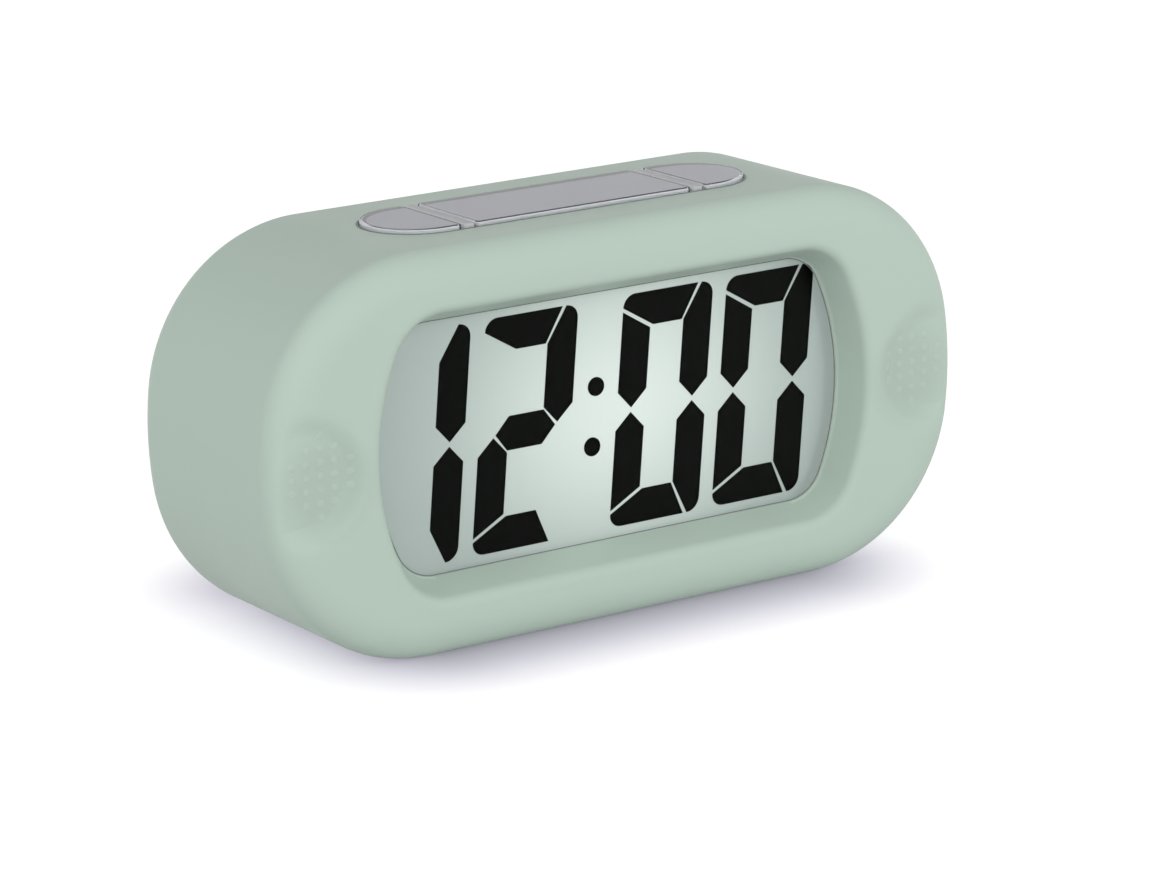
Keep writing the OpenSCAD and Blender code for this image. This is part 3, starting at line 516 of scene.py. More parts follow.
def striped(name, light, dark, pitch, rough):
    """Film or rubber with fine stripes across the clock's width."""
    material, nodes = new_material(name)
    scale = math.pi / (10 * pitch * MM)
    bands = nodes.add("ShaderNodeTexWave", {"Vector": nodes.place(), "Scale": scale}, bands_direction="X")
    shader = nodes.add("ShaderNodeBsdfPrincipled", {
        "Base Color": mix_colour(nodes, bands.outputs["Fac"], (*light, 1), (*dark, 1)),
        "Roughness": nodes.remap(nodes.noise(2), rough - 0.05, rough + 0.05),
    })
    nodes.add("ShaderNodeOutputMaterial", {"Surface": shader.outputs["BSDF"]})
    return material


def surface(name, colour, rough, *, vary=0.05, patch=9.0, grain=0.25, relief=0.01, edge=0.0,
            hollow=0.0, grip=0.0, **sockets):
    """Moulded or cast surface: colour and gloss vary in patches, with fine grain.

    edge softens the edges; hollow paints shade into what lies deep, and grip paints shade into the grip
    dimples.
    """
    material, nodes = new_material(name)
    blotch = nodes.noise(patch)
    speck = nodes.noise(grain, 2.0)
    tint = mix_colour(nodes, blotch, shaded(colour, 1 - vary), shaded(colour, 1 + vary))
    # Painted shade: ambient occlusion darkens the colour in hollows and recesses
    if hollow:
        shade = nodes.add("ShaderNodeAmbientOcclusion", {"Distance": hollow * MM}, samples=8, only_local=True)
        tint = shaded_by(nodes, tint, nodes.remap(shade.outputs["AO"], HOLLOW_SHADE, 1.0, *HOLLOW_RANGE))
    # Painted shade: darker colour in the grip dimples
    if grip:
        tint = shaded_by(nodes, tint, painted_dimple_shade(nodes, grip))
    bump = {"Height": speck, "Strength": 1.0, "Distance": relief * MM}
    if edge:
        bump["Normal"] = nodes.add("ShaderNodeBevel", {"Radius": edge * MM}, samples=4).outputs["Normal"]
    shader = nodes.add("ShaderNodeBsdfPrincipled", {
        "Base Color": tint,
        "Roughness": nodes.remap(blotch, rough - 0.05, rough + 0.05),
        "Normal": nodes.add("ShaderNodeBump", bump).outputs["Normal"],
        **sockets,
    })
    nodes.add("ShaderNodeOutputMaterial", {"Surface": shader.outputs["BSDF"]})
    return material


def clear_plastic(name, tint, rough, ior):
    """Clear plastic that bends what is seen through it and lets the lamps through."""
    material, nodes = new_material(name)
    blotch = nodes.noise(6)
    glass = nodes.add("ShaderNodeBsdfGlass", {
        "Color": mix_colour(nodes, blotch, shaded(tint, 0.97), shaded(tint, 1.0)),
        "Roughness": nodes.remap(nodes.noise(2.5), rough * 0.6, rough * 1.4),
        "IOR": ior,
    })
    through = nodes.add("ShaderNodeBsdfTransparent", {"Color": (*tint, 1)})
    shadow = nodes.add("ShaderNodeLightPath").outputs["Is Shadow Ray"]
    mixed = nodes.add("ShaderNodeMixShader", {
        0: shadow, 1: glass.outputs["BSDF"], 2: through.outputs["BSDF"]})
    nodes.add("ShaderNodeOutputMaterial", {"Surface": mixed.outputs["Shader"]})
    return material


def thin_pane(name, tint, rough, gloss):
    """Flat clear sheet: nearly see-through, with a weak sheen that grows at flat angles."""
    material, nodes = new_material(name)
    through = nodes.add("ShaderNodeBsdfTransparent", {"Color": (*tint, 1)})
    worn = nodes.remap(nodes.noise(4), rough * 0.7, rough * 1.3)
    shine = nodes.add("ShaderNodeBsdfGlossy", {"Roughness": worn})
    fresnel = nodes.add("ShaderNodeFresnel", {"IOR": 1.45})
    share = nodes.calc("MULTIPLY", fresnel.outputs["Fac"], gloss)
    mixed = nodes.add("ShaderNodeMixShader", {
        0: share, 1: through.outputs["BSDF"], 2: shine.outputs["BSDF"]})
    nodes.add("ShaderNodeOutputMaterial", {"Surface": mixed.outputs["Shader"]})
    return material


def painted_glow_display(name, middle, rim):
    """Display with painted light: a painted glow in its colour and emission, brightest in the middle and
    darker towards its ends.
    """
    material, nodes = new_material(name)
    scaled = nodes.add("ShaderNodeMapping", {
        "Vector": nodes.place(),
        "Location": (-GLOW_X / GLOW_HALF_W, 0, -GLOW_Z / GLOW_HALF_H),
        "Scale": (1 / (GLOW_HALF_W * MM), 0, 1 / (GLOW_HALF_H * MM)),
    })
    away = nodes.vector("LENGTH", scaled.outputs["Vector"], output="Value")
    colour = mix_colour(nodes, nodes.smooth(away, 0.0, 1.0), (*middle, 1), (*rim, 1))
    # Emission is painted light here: the display glows though it is no lamp
    shader = nodes.add("ShaderNodeBsdfPrincipled", {
        "Base Color": shaded_by(nodes, colour, GROUND_SHARE),
        "Roughness": nodes.remap(nodes.noise(3), 0.45, 0.6),
        "Specular IOR Level": 0.2,
        "Emission Color": colour,
        "Emission Strength": GLOW_SHARE,
    })
    nodes.add("ShaderNodeOutputMaterial", {"Surface": shader.outputs["BSDF"]})
    return material


MINT = srgb(190, 208, 196)
MATT = {"vary": 0.012, "patch": 14, "grain": 0.35, "relief": 0.006,
        "Sheen Weight": 0.08, "Sheen Roughness": 0.5, "Specular IOR Level": 0.3}
# Both carry painted shade in the grip dimples; the sleeve also gets painted shade in its hollows, and the
# dots a weaker shade so they stand out lighter
silicone = surface("silicone", MINT, 0.55, hollow=HOLLOW_REACH, grip=GRIP_SHADE, **MATT)
dot_silicone = surface("dot_silicone", MINT, 0.55, grip=DOT_SHADE, **MATT)
# Darker silicone that paints the shadow in the gaps round the lens and the keys
shade_bead_silicone = surface("shade_bead_silicone", srgb(112, 124, 118), 0.5, vary=0.1, patch=3, relief=0.0)
CASE_GREY = srgb(228, 229, 224)
ETCHED = {"vary": 0.015, "grain": 0.3, "relief": 0.012}
case_plastic = surface("case_plastic", CASE_GREY, 0.48, edge=0.3, **ETCHED)
door_plastic = surface("door_plastic", CASE_GREY, 0.48, **ETCHED)
button_plastic = surface("button_plastic", srgb(172, 190, 179), 0.42, vary=0.02, grain=0.3, relief=0.006)
white_plastic = surface("white_plastic", srgb(236, 236, 232), 0.5, vary=0.02, edge=0.2)
dark_plastic = surface("dark_plastic", srgb(38, 38, 41), 0.4, vary=0.1, edge=0.15)
pale_plastic = surface("pale_plastic", srgb(205, 205, 200), 0.45, vary=0.03, edge=0.15)
key_core = surface("key_core", srgb(115, 116, 123), 0.6, vary=0.02, patch=12, relief=0.0)
# Painted light on the keys: sides painted paler as if lit, and dark lines of painted shade
key_side = surface("key_side", srgb(164, 167, 169), 0.5, vary=0.02, patch=12, relief=0.0)
key_shade_paint = surface("key_shade_paint", srgb(40, 41, 45), 0.5, vary=0.05, patch=12, relief=0.0)
key_divider = surface("key_divider", srgb(146, 146, 152), 0.3, vary=0.02, patch=12, relief=0.004)
# Painted highlight: paler sides and edges of the key dividers
divider_highlight_paint = surface("divider_highlight_paint", srgb(192, 194, 196), 0.2, vary=0.02, patch=12, relief=0.0)
key_clear = clear_plastic("key_clear", (0.97, 0.97, 0.98), 0.03, 1.25)
lens_clear = thin_pane("lens_clear", (0.99, 1.0, 0.99), 0.05, 0.02)
# Painted glow: pale middle colour, darker rim colour
lcd_ground = painted_glow_display("lcd_ground", srgb(228, 236, 233), srgb(171, 181, 179))
lcd_ink = surface("lcd_ink", srgb(11, 12, 11), 0.5, vary=0.2, patch=4, relief=0.0,
                  **{"Specular IOR Level": 0.03})
acrylic = clear_plastic("acrylic", (0.9, 0.95, 0.95), 0.05, 1.49)
led_body = surface("led_body", srgb(240, 226, 150), 0.3, vary=0.05, edge=0.1)
zebra = striped("zebra", srgb(150, 152, 156), srgb(40, 41, 44), 0.4, 0.7)
laminate = surface("laminate", srgb(32, 104, 62), 0.35, vary=0.18, patch=1.6, grain=0.4, relief=0.02,
                   edge=0.1)
steel = surface("steel", (0.62, 0.62, 0.64), 0.3, vary=0.06, patch=1.5, edge=0.08, Metallic=1.0)
bright_steel = surface("bright_steel", (0.72, 0.72, 0.74), 0.22, vary=0.06, patch=2, edge=0.08, Metallic=1.0)
chip_resin = surface("chip_resin", srgb(30, 30, 32), 0.55, vary=0.15, patch=1, grain=0.12, edge=0.1)
wrap = surface("wrap", srgb(42, 50, 98), 0.35, vary=0.08, patch=2, edge=0.15)
paper = surface("paper", srgb(46, 46, 48), 0.85, vary=0.2, patch=1.2, grain=0.2, relief=0.03)
magnet_metal = surface("magnet_metal", (0.5, 0.5, 0.52), 0.35, vary=0.08, patch=2, edge=0.15, Metallic=1.0)
basket_metal = surface("basket_metal", (0.42, 0.43, 0.45), 0.4, vary=0.08, patch=2, edge=0.15, Metallic=1.0)
ribbon_film = striped("ribbon_film", srgb(226, 222, 210), srgb(190, 172, 130), 1.0, 0.4)
blue_skin = surface("blue_skin", srgb(40, 62, 150), 0.45, vary=0.06, patch=2)
red_skin = surface("red_skin", srgb(176, 32, 30), 0.45, vary=0.06, patch=2)
black_skin = surface("black_skin", srgb(28, 28, 30), 0.45, vary=0.12, patch=2)
cell_label = surface("cell_label", srgb(58, 92, 96), 0.3, vary=0.05, patch=5)
cell_band = surface("cell_band", srgb(214, 218, 216), 0.3, vary=0.05, patch=5)

NODE_MATERIALS = {
    case_plastic: ["front_case", "rear_case"],
    steel: ["case_screws", "main_board_screws", "key_board_screws", "control_board_screws"],
    lens_clear: ["display_lens"],
    lcd_ground: ["lcd_glass"],
    lcd_ink: ["lcd_segments"],
    white_plastic: ["lcd_holder"],
    acrylic: ["light_guide"],
    led_body: ["backlight_leds"],
    laminate: ["main_board", "key_board", "control_board"],
    chip_resin: ["clock_chip"],
    bright_steel: ["quartz_crystal", "spring_plates", "button_plates", "alarm_switch_body"],
    wrap: ["capacitors"],
    dark_plastic: ["key_switches", "control_switches"],
    pale_plastic: ["left_plunger", "snooze_plunger", "right_plunger", "time_plunger", "alarm_plunger"],
    basket_metal: ["speaker_basket"],
    magnet_metal: ["speaker_magnet"],
}
for material, names in NODE_MATERIALS.items():
    for name in names:
        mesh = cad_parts[name].data
        mesh.materials.clear()
        mesh.materials.append(material)


# Sleeve

BODY = bowed(HALF_W, HALF_H, CORNER_R, SIDE_R)
LENS = bowed(LENS_HI.x - LENS_BORDER, (LENS_HI.z - LENS_LO.z) / 2 - LENS_BORDER, LENS_CORNER_R, LENS_SIDE_R)
FLAT_STEPS = 24


def sleeve_section():
    """The sleeve's section: share of the window's outline, growth of the body's and the window's, depth."""
    rear, front = -HALF_D, HALF_D
    lip_in = rear + SLEEVE_REAR_T
    wall_in = front - SLEEVE_FRONT_T
    lip_u = LIP_ROUND - REAR_BORDER
    outside = chain(
        quarter((lip_u, lip_in), (-REAR_BORDER, lip_in - LIP_ROUND), 0, 5),
        quarter((-REAR_BORDER, rear + LIP_ROUND), (lip_u, rear), 1, 5),
        line((lip_u, rear), (-REAR_ROUND, rear), 3),
        quarter((-REAR_ROUND, rear), (0, rear + REAR_ROUND), 0, 10),
        line((0, rear + REAR_ROUND), (0, front - FRONT_ROUND_D), 14),
        quarter((0, front - FRONT_ROUND_D), (-FRONT_ROUND_W, front), 1, 16),
    )
    slope = Vector((-BEVEL_W, LENS_F - front)).normalized()
    crest = (BEVEL_W + RIM, front)
    rim_end = (BEVEL_W + RIM * slope.x, front + RIM * slope.y)
    toe_start = (-TOE * slope.x, LENS_F - TOE * slope.y)
    toe_end = (TOE, LENS_F + TOE_GAP)
    window = chain(
        eased(crest, (BEVEL_W, front), rim_end, 8),
        line(rim_end, toe_start, 6),
        eased(toe_start, (0, LENS_F + TOE_GAP), toe_end, 4),
        line(toe_end, (COLLAR_W, LENS_F + TOE_GAP), 2),
        line((COLLAR_W, LENS_F + TOE_GAP), (COLLAR_W, wall_in), 2),
    )
    inside = chain(
        line((-SLEEVE_T, wall_in), (-SLEEVE_T, lip_in), 8),
        line((-SLEEVE_T, lip_in), (lip_u, lip_in), 3)[:-1],
    )
    return (
        [(0, u, 0, f) for u, f in outside]
        + [(t, -FRONT_ROUND_W, BEVEL_W + RIM, front) for t in spread(0, 1, 24)[1:-1]]
        + [(1, 0, u, f) for u, f in window]
        + [(t, -SLEEVE_T, COLLAR_W, wall_in) for t in spread(1, 0, 4)[1:-1]]
        + [(0, u, 0, f) for u, f in inside]
    )


def dimpled(x, y, f):
    """Depth of the face, cut lower in a dimple, whose floor falls towards the window and the foot."""
    out = abs(x) - DIMPLE_X
    inside = (DIMPLE_R - math.hypot(out, DIMPLE_SQUASH * y)) / DIMPLE_EDGE
    if inside <= 0:
        return f
    t = min(inside, 1.0)
    depth = DIMPLE_DEPTH * (1 - DIMPLE_TILT * (DIMPLE_LEAN * out + y) / DIMPLE_R)
    above = f - (HALF_D - depth)
    drop = (above + math.hypot(above, DIMPLE_BLEND)) / 2
    return f - drop * t * t * (3 - 2 * t)


def face_depth(x, y):
    """Depth of the sleeve's face near its rounded ends."""
    inset = SIDE_R - math.hypot(abs(x) - HALF_W + SIDE_R, y)
    t = max(0.0, 1 - inset / FRONT_ROUND_W)
    return dimpled(x, y, HALF_D - FRONT_ROUND_D * (1 - math.sqrt(1 - t * t)))


def sleeve_ring(share, body_grow, lens_grow, f):
    outer = ring(BODY, body_grow, FLAT_STEPS)
    inner = ring(LENS, lens_grow, FLAT_STEPS)
    points = [(a + (c - a) * share, b + (d - b) * share) for (a, b), (c, d) in zip(outer, inner)]
    if f < HALF_D - FRONT_ROUND_D or lens_grow == COLLAR_W:
        return [(x, y, f) for x, y in points]
    return [(x, y, dimpled(x, y, f)) for x, y in points]


def open_edges(bm, y):
    """Boundary edges of a mesh at a height above the middle."""
    height = (y + MID_Z) * MM
    return [e for e in bm.edges if e.is_boundary and all(abs(v.co.z - height) < 1e-7 for v in e.verts)]


def make_sleeve():
    bm = bmesh.new()
    rings = [sleeve_ring(*station) for station in sleeve_section()]
    verts = [[bm.verts.new(facing(*p)) for p in points] for points in rings]
    n = len(rings[0])
    tops = (HALF_H, HALF_H - SLEEVE_T)
    for i in range(len(rings)):
        m = (i + 1) % len(rings)
        for j in range(n):
            k = (j + 1) % n
            heights = [rings[a][b][1] for a, b in ((i, j), (i, k), (m, k), (m, j))]
            if any(all(abs(h - top) < 1e-6 for h in heights) for top in tops):
                continue
            bm.faces.new((verts[i][j], verts[i][k], verts[m][k], verts[m][j]))
    bmesh.ops.delete(bm, geom=[v for v in bm.verts if not v.link_faces], context="VERTS")
    opening = pill(KEY_HALF_L, KEY_R, KEY_Y)
    top, bottom = HALF_H + MID_Z, HALF_H - SLEEVE_T + MID_Z
    section = chain(
        quarter((MOVE_GAP + OPENING_EDGE, top), (MOVE_GAP, top - OPENING_EDGE), 0, 5),
        [(MOVE_GAP, bottom)],
    )
    wall = [[bm.verts.new(lying(x, y, z)) for x, y in ring(opening, u, FLAT_STEPS)] for u, z in section]
    count = len(wall[0])
    for upper, lower in zip(wall, wall[1:]):
        for j in range(count):
            k = (j + 1) % count
            bm.faces.new((upper[j], upper[k], lower[k], lower[j]))
    for height in tops:
        bmesh.ops.triangle_fill(bm, use_beauty=True, edges=open_edges(bm, height))
    piece("sleeve", bm, [silicone], "clock", ["silicone_sleeve"], sharp=60)


def make_grip_dots():
    """Low round dots in the grip dimples."""
    bm = bmesh.new()
    offsets = [(i * DOT_PITCH_X, j * DOT_PITCH_Y) for i in DOT_COLUMNS for j in DOT_ROWS]
    dome = [(0, -DOT_ROOT)] + quarter((0, -DOT_SINK), (DOT_FLAT_R - DOT_R, DOT_RISE), 1, 5)
    for side in (-1, 1):
        for i, j in offsets:
            if math.hypot(i, j) <= DOT_REACH:
                arcs = circle(side * DOT_X + i, DOT_Y + j, DOT_R, 16)
                sweep(bm, arcs, dome, lambda x, y, rise: facing(x, y, face_depth(x, y) + rise))
    piece("grip_dots", bm, [dot_silicone], "clock")


def make_lens_shade_bead():
    """Fine dark bead of painted shade where the bevel meets the lens, standing for the shadow in the gap."""
    bm = bmesh.new()
    loop = [(x, -LENS_F - LENS_SHADE_BEAD_F, y + MID_Z) for x, y in ring(LENS, -LENS_SHADE_BEAD_R, FLAT_STEPS)]
    tube(bm, loop + loop[:1], LENS_SHADE_BEAD_R, 8)
    piece("lens_shade_bead", bm, [shade_bead_silicone], "clock")


def make_opening_shade_bead():
    """Fine dark bead of painted shade round the keys' opening, standing for the shadow in the gap."""
    bm = bmesh.new()
    outline = ring(pill(KEY_HALF_L, KEY_R, KEY_Y), OPENING_SHADE_BEAD_OUT, FLAT_STEPS)
    loop = [(x, y, SLEEVE_HI.z - OPENING_SHADE_BEAD_DROP) for x, y in outline]
    tube(bm, loop + loop[:1], OPENING_SHADE_BEAD_R, 8)
    piece("opening_shade_bead", bm, [shade_bead_silicone], "clock")


# Keys

def make_key(name, arcs):
    """Clear cap over a core: grey print with dark painted shade lines round it, sides painted paler as if
    lit, a flange under the case's roof.
    """
    flange_top = KEY_LO.z + FLANGE_T
    shoulder = SLEEVE_HI.z - SHOULDER_DROP
    core_top = KEY_HI.z - KEY_ROOF
    bm = bmesh.new()
    cap = chain([(0, shoulder - CAP_SKIRT)], quarter((0, KEY_HI.z - KEY_EDGE), (-KEY_EDGE, KEY_HI.z), 1, 6))
    sweep(bm, arcs, cap, lying)
    piece(name + "_cap", bm, [key_clear], name, [name])
    side = chain(
        [(FLANGE_END, KEY_LO.z), (FLANGE_END, flange_top), (-CORE_LAP, flange_top)],
        [(-CORE_LAP, shoulder), (-KEY_WALL, shoulder)],
        quarter((-KEY_WALL, core_top - CORE_EDGE), (-KEY_WALL - CORE_EDGE, core_top), 1, 3),
    )
    # Painted paler from the flange up as if lit, with dark lines of painted shade on the shoulder and round
    # the print
    slots = [0] * 4 + [2, 0, 0, 0] + [2] * 2
    bm = bmesh.new()
    sweep(bm, arcs, side, lying, slots)
    inset = KEY_WALL + CORE_EDGE + PRINT_SHADE_LINE
    near = KEY_Y - KEY_R + inset

    # The print is pushed back, so the painted shade line is wider at the back
    def pressed(x, y, z):
        return lying(x, y - BACK_SHADE_LINE * (y - near) / (2 * (KEY_R - inset)), z)

    sweep(bm, arcs, [(-inset, core_top - PRINT_T), (-inset, core_top + PRINT_T)], pressed, [1, 1, 1])
    piece(name + "_core", bm, [key_side, key_core, key_shade_paint], name)


def make_keys():
    bottom, top = KEY_Y - KEY_R, KEY_Y + KEY_R
    make_key("left_key", end_key(KEY_HALF_L, -KEY_CUT_X, KEY_R, KEY_Y, KEY_CORNER, -1))
    make_key("snooze_key", rounded_rect(-SNOOZE_HALF_L, SNOOZE_HALF_L, bottom, top, KEY_CORNER))
    make_key("right_key", end_key(KEY_HALF_L, -KEY_CUT_X, KEY_R, KEY_Y, KEY_CORNER, 1))
    bm = bmesh.new()
    inner = SNOOZE_HALF_L + MOVE_GAP
    for side in (-1, 1):
        x0, x1 = sorted((side * inner, side * (inner + DIVIDER_W)))
        arcs = rounded_rect(x0, x1, bottom + DIVIDER_GAP, top - DIVIDER_GAP, DIVIDER_CORNER)
        section = rounded(DIVIDER_LO.z, DIVIDER_HI.z, DIVIDER_FOOT, DIVIDER_EDGE)
        # Painted highlight: the divider's sides and round edges are paler than its flat top
        sweep(bm, arcs, section, lying, [1] * len(section) + [0])
    piece("key_divider_bars", bm, [key_divider, divider_highlight_paint], "clock", ["key_dividers"])


# Rear controls

def make_button(node):
    """Round button with a shallow dish for the fingertip."""
    lo, hi = span(node)
    x, y = (lo.x + hi.x) / 2, (lo.z + hi.z) / 2 - MID_Z
    r = (hi.x - lo.x) / 2 - BUTTON_FLANGE_W
    front, back = -lo.y, -hi.y
    ledge = front - CONTROL_FLANGE_T
    section = chain(
        [(BUTTON_FLANGE_W, front), (BUTTON_FLANGE_W, ledge), (0, ledge)],
        quarter((0, back + BUTTON_EDGE), (-BUTTON_EDGE, back), 1, 6),
        [(-BUTTON_EDGE - BUTTON_DISH_W * t, back + BUTTON_DISH * t * t * (3 - 2 * t))
         for t in spread(0, 1, 5)],
    )
    bm = bmesh.new()
    sweep(bm, circle(x, y, r), section, facing)
    piece(node + "_cap", bm, [button_plastic], node, [node])


def centred(w, h, x, y, r):
    return rounded_rect(x - w / 2, x + w / 2, y - h / 2, y + h / 2, r, 4)


def make_knob():
    """Slide switch's knob: ridged grip, flange behind the panel and a root in the switch."""
    x, y = (KNOB_LO.x + KNOB_HI.x) / 2, (KNOB_LO.z + KNOB_HI.z) / 2 - MID_Z
    front, back = -KNOB_LO.y, -KNOB_HI.y
    flange_w, flange_h = KNOB_HI.x - KNOB_LO.x, KNOB_HI.z - KNOB_LO.z
    flange_f = -span("time_button")[0].y - CONTROL_FLANGE_T
    flange_end = flange_f + KNOB_FLANGE_T
    top = back + KNOB_RIDGE_H
    slabs = [
        (KNOB_W, KNOB_H, 0.5, rounded(top, flange_end, 0.3, 0.1)),
        (flange_w, flange_h, 0.3, rounded(flange_f, flange_end, 0.1, 0.1)),
        (KNOB_ROOT_W, KNOB_ROOT_H, 0.2, rounded(flange_f + KNOB_LAP, front, 0.1, 0.1)),
    ]
    bm = bmesh.new()
    for w, h, corner, section in slabs:
        sweep(bm, centred(w, h, x, y, corner), section, facing)
    pitch = (KNOB_W - KNOB_MARGIN) / KNOB_RIDGES
    for k in range(KNOB_RIDGES):
        ridge_x = x + (k - (KNOB_RIDGES - 1) / 2) * pitch
        ridge = centred(pitch * KNOB_RIDGE_SHARE, KNOB_H - KNOB_RIDGE_SHORT, ridge_x, y, KNOB_RIDGE_CORNER)
        sweep(bm, ridge, rounded(back, top + KNOB_LAP, KNOB_RIDGE_EDGE, 0.02), facing)
    piece("alarm_switch_grip", bm, [button_plastic], "alarm_switch", ["alarm_switch_knob"])


# Battery bay

def carved(bm, cutter):
    """The first solid less the second."""
    made = []
    for name, solid in (("carved", bm), ("cutter", cutter)):
        bmesh.ops.recalc_face_normals(solid, faces=solid.faces[:])
        mesh = bpy.data.meshes.new(name)
        solid.to_mesh(mesh)
        solid.free()
        made.append(bpy.data.objects.new(name, mesh))
        bpy.context.scene.collection.objects.link(made[-1])
    body, tool = made
    cut = body.modifiers.new("Cut", "BOOLEAN")
    cut.operation = "DIFFERENCE"
    cut.solver = "EXACT"
    cut.object = tool
    result = bmesh.new()
    result.from_object(body, bpy.context.evaluated_depsgraph_get())
    for obj in made:
        mesh = obj.data
        bpy.data.objects.remove(obj)
        bpy.data.meshes.remove(mesh)
    return result


def make_door():
    """Battery door: a plate that turns on its round lower edge, with finger grooves and a tongue."""
    x0, x1 = DOOR_LO.x + DOOR_PIN_L, DOOR_HI.x - DOOR_PIN_L
    x = (x0 + x1) / 2
    inside, outside = -DOOR_LO.y, -DOOR_HI.y
    barrel_r = (inside - outside) / 2
    hinge_y, hinge_f = DOOR_LO.z + barrel_r - MID_Z, (inside + outside) / 2
    top = DOOR_HI.z - MID_Z - TONGUE_H
    end = [
        (top - DOOR_EDGE, inside - DOOR_EDGE, DOOR_EDGE, 0, 90, 5),
        (hinge_y, hinge_f, barrel_r, 90, 270, 20),
        (top - DOOR_EDGE, outside + DOOR_EDGE, DOOR_EDGE, 270, 360, 5),
    ]

    def across(y, f, along_x):
        return facing(along_x, y, f)

    plate = bmesh.new()
    sweep(plate, end, rounded(x0, x1, DOOR_END_EDGE, DOOR_END_EDGE), across)
    grooves = bmesh.new()
    cut = [
        (-GROOVE_SLOPE, outside + GROOVE_R),
        (0, outside + GROOVE_LAP),
        (GROOVE_FLARE, outside - GROOVE_LAP),
    ]
    for k in range(GROOVES):
        groove = centred(TONGUE_W, 2 * GROOVE_R, x, top - GROOVE_INSET - k * GROOVE_PITCH, GROOVE_CORNER)
        sweep(grooves, groove, cut, facing)
    bm = carved(plate, grooves)
    tongue = rounded_rect(x - TONGUE_W / 2, x + TONGUE_W / 2, top - TONGUE_LAP, top + TONGUE_H, 0.4)
    sweep(bm, tongue, rounded(inside - TONGUE_T, inside, 0.3, 0.1), facing)
    for start, end_x in ((DOOR_LO.x, x0 + DOOR_PIN_LAP), (x1 - DOOR_PIN_LAP, DOOR_HI.x)):
        sweep(bm, circle(hinge_y, hinge_f, DOOR_PIN_R, 20), rounded(start, end_x, 0.15, 0.15, 3), across)
    piece("battery_lid", bm, [door_plastic], "battery_door", ["battery_door"], sharp=35)


def make_cell(node, points_left):
    """Cell with a printed film, a crimped shoulder and a terminal."""
    lo, hi = span(node)
    y, z = (lo.y + hi.y) / 2, (lo.z + hi.z) / 2
    r, length = (hi.z - lo.z) / 2, hi.x - lo.x
    shoulder = length - CELL_NUB_L
    nub = CELL_NUB_R - r
    foot = [(-2.2, 0.1), (-1.7, 0.0), (-0.9, 0.0), (-0.75, 0.25)]
    film = chain(
        [(-0.55, 0.3)], quarter((-0.35, 0.35), (0, 0.8), 0, 4),
        [(0, shoulder - CELL_BAND_L)],
    )
    band = chain(quarter((0, shoulder - 0.9), (-0.7, shoulder - 0.25), 1, 4), [(-0.85, shoulder - 0.4)])
    head = chain(
        [(-1.3, shoulder - 0.4), (nub + 0.9, shoulder - 0.3)],
        [(nub + 0.2, shoulder - 0.1), (nub, shoulder + 0.1)],
        quarter((nub, length - 0.3), (nub - 0.3, length), 1, 4),
    )
    section = foot + film + band + head
    slots = [2] * (len(foot) + 1) + [0] * (len(film) - 1) + [1] * (len(band) + 1) + [2] * len(head)
    bm = bmesh.new()
    start, way = (hi.x, -1) if points_left else (lo.x, 1)
    sweep(bm, circle(y, z, r), section, lambda a, b, h: along(a, b, start + way * h), slots)
    piece(node + "_body", bm, [cell_label, cell_band, bright_steel], "clock", [node])


def make_springs(rows):
    """Conical contact springs, closed at both ends."""
    bm = bmesh.new()
    for node, points_left in rows:
        lo, hi = span(node)
        y, z = (lo.y + hi.y) / 2, (lo.z + hi.z) / 2
        plate, cell = (BAY_HI.x - PLATE_T, hi.x) if points_left else (BAY_LO.x + PLATE_T, lo.x)
        way = math.copysign(1, cell - plate)
        start, end = plate + way * SPRING_WIRE_R, cell - way * SPRING_WIRE_R
        turns = SPRING_TURNS + 2 * SPRING_CLOSED
        points = []
        for t in spread(0, turns, int(turns * SPRING_STEPS)):
            rise = min(max((t - SPRING_CLOSED) / SPRING_TURNS, 0), 1)
            r = SPRING_BIG_R + (SPRING_SMALL_R - SPRING_BIG_R) * t / turns
            a = 2 * math.pi * t
            points.append((start + (end - start) * rise, y + r * math.cos(a), z + r * math.sin(a)))
        tube(bm, points, SPRING_TUBE_R, 8)
    piece("spring_coils", bm, [bright_steel], "clock", ["contact_springs"])


# Wires, ribbons, connector strip and cone

def make_leads(node, sheath, paths):
    """Stranded wires with bare tinned ends."""
    bm = bmesh.new()
    for path in paths:
        points = smooth_path(path, 8)
        tube(bm, points[4:-4], LEAD_R, 12)
        tube(bm, points, LEAD_R / 2, 8, 1)
    piece(node + "_wire", bm, [sheath, bright_steel], "clock", [node])


def make_cell_lead(node, sheath, turn):
    """Lead from a contact's lug down to the main board; turn is 1 where it bows up, -1 where it bows down."""
    lo, hi = span(node)
    x0, x1 = hi.x - LEAD_ROOM, lo.x + LEAD_ROOM
    far = lo.z + LEAD_ROOM if turn > 0 else hi.z - LEAD_ROOM
    near = far + turn
    make_leads(node, sheath, [[
        (x0, hi.y, near), (x0, hi.y - LEAD_RUN, near + LEAD_BOW * turn),
        ((x0 + x1) / 2, (lo.y + hi.y) / 2, near),
        (x1, lo.y + LEAD_RUN, far), (x1, lo.y, far),
    ]])


def make_speaker_leads():
    lo, hi = span("speaker_leads")
    z = hi.z - LEAD_ROOM
    sag = lo.z + LEAD_ROOM
    run = SPEAKER_LEAD_RUN
    make_leads("speaker_leads", blue_skin, [
        [(x, hi.y, z), (x, hi.y - run, z), (x, (lo.y + hi.y) / 2, sag), (x, lo.y + run, z), (x, lo.y, z)]
        for x in (lo.x + LEAD_ROOM, hi.x - LEAD_ROOM)
    ])


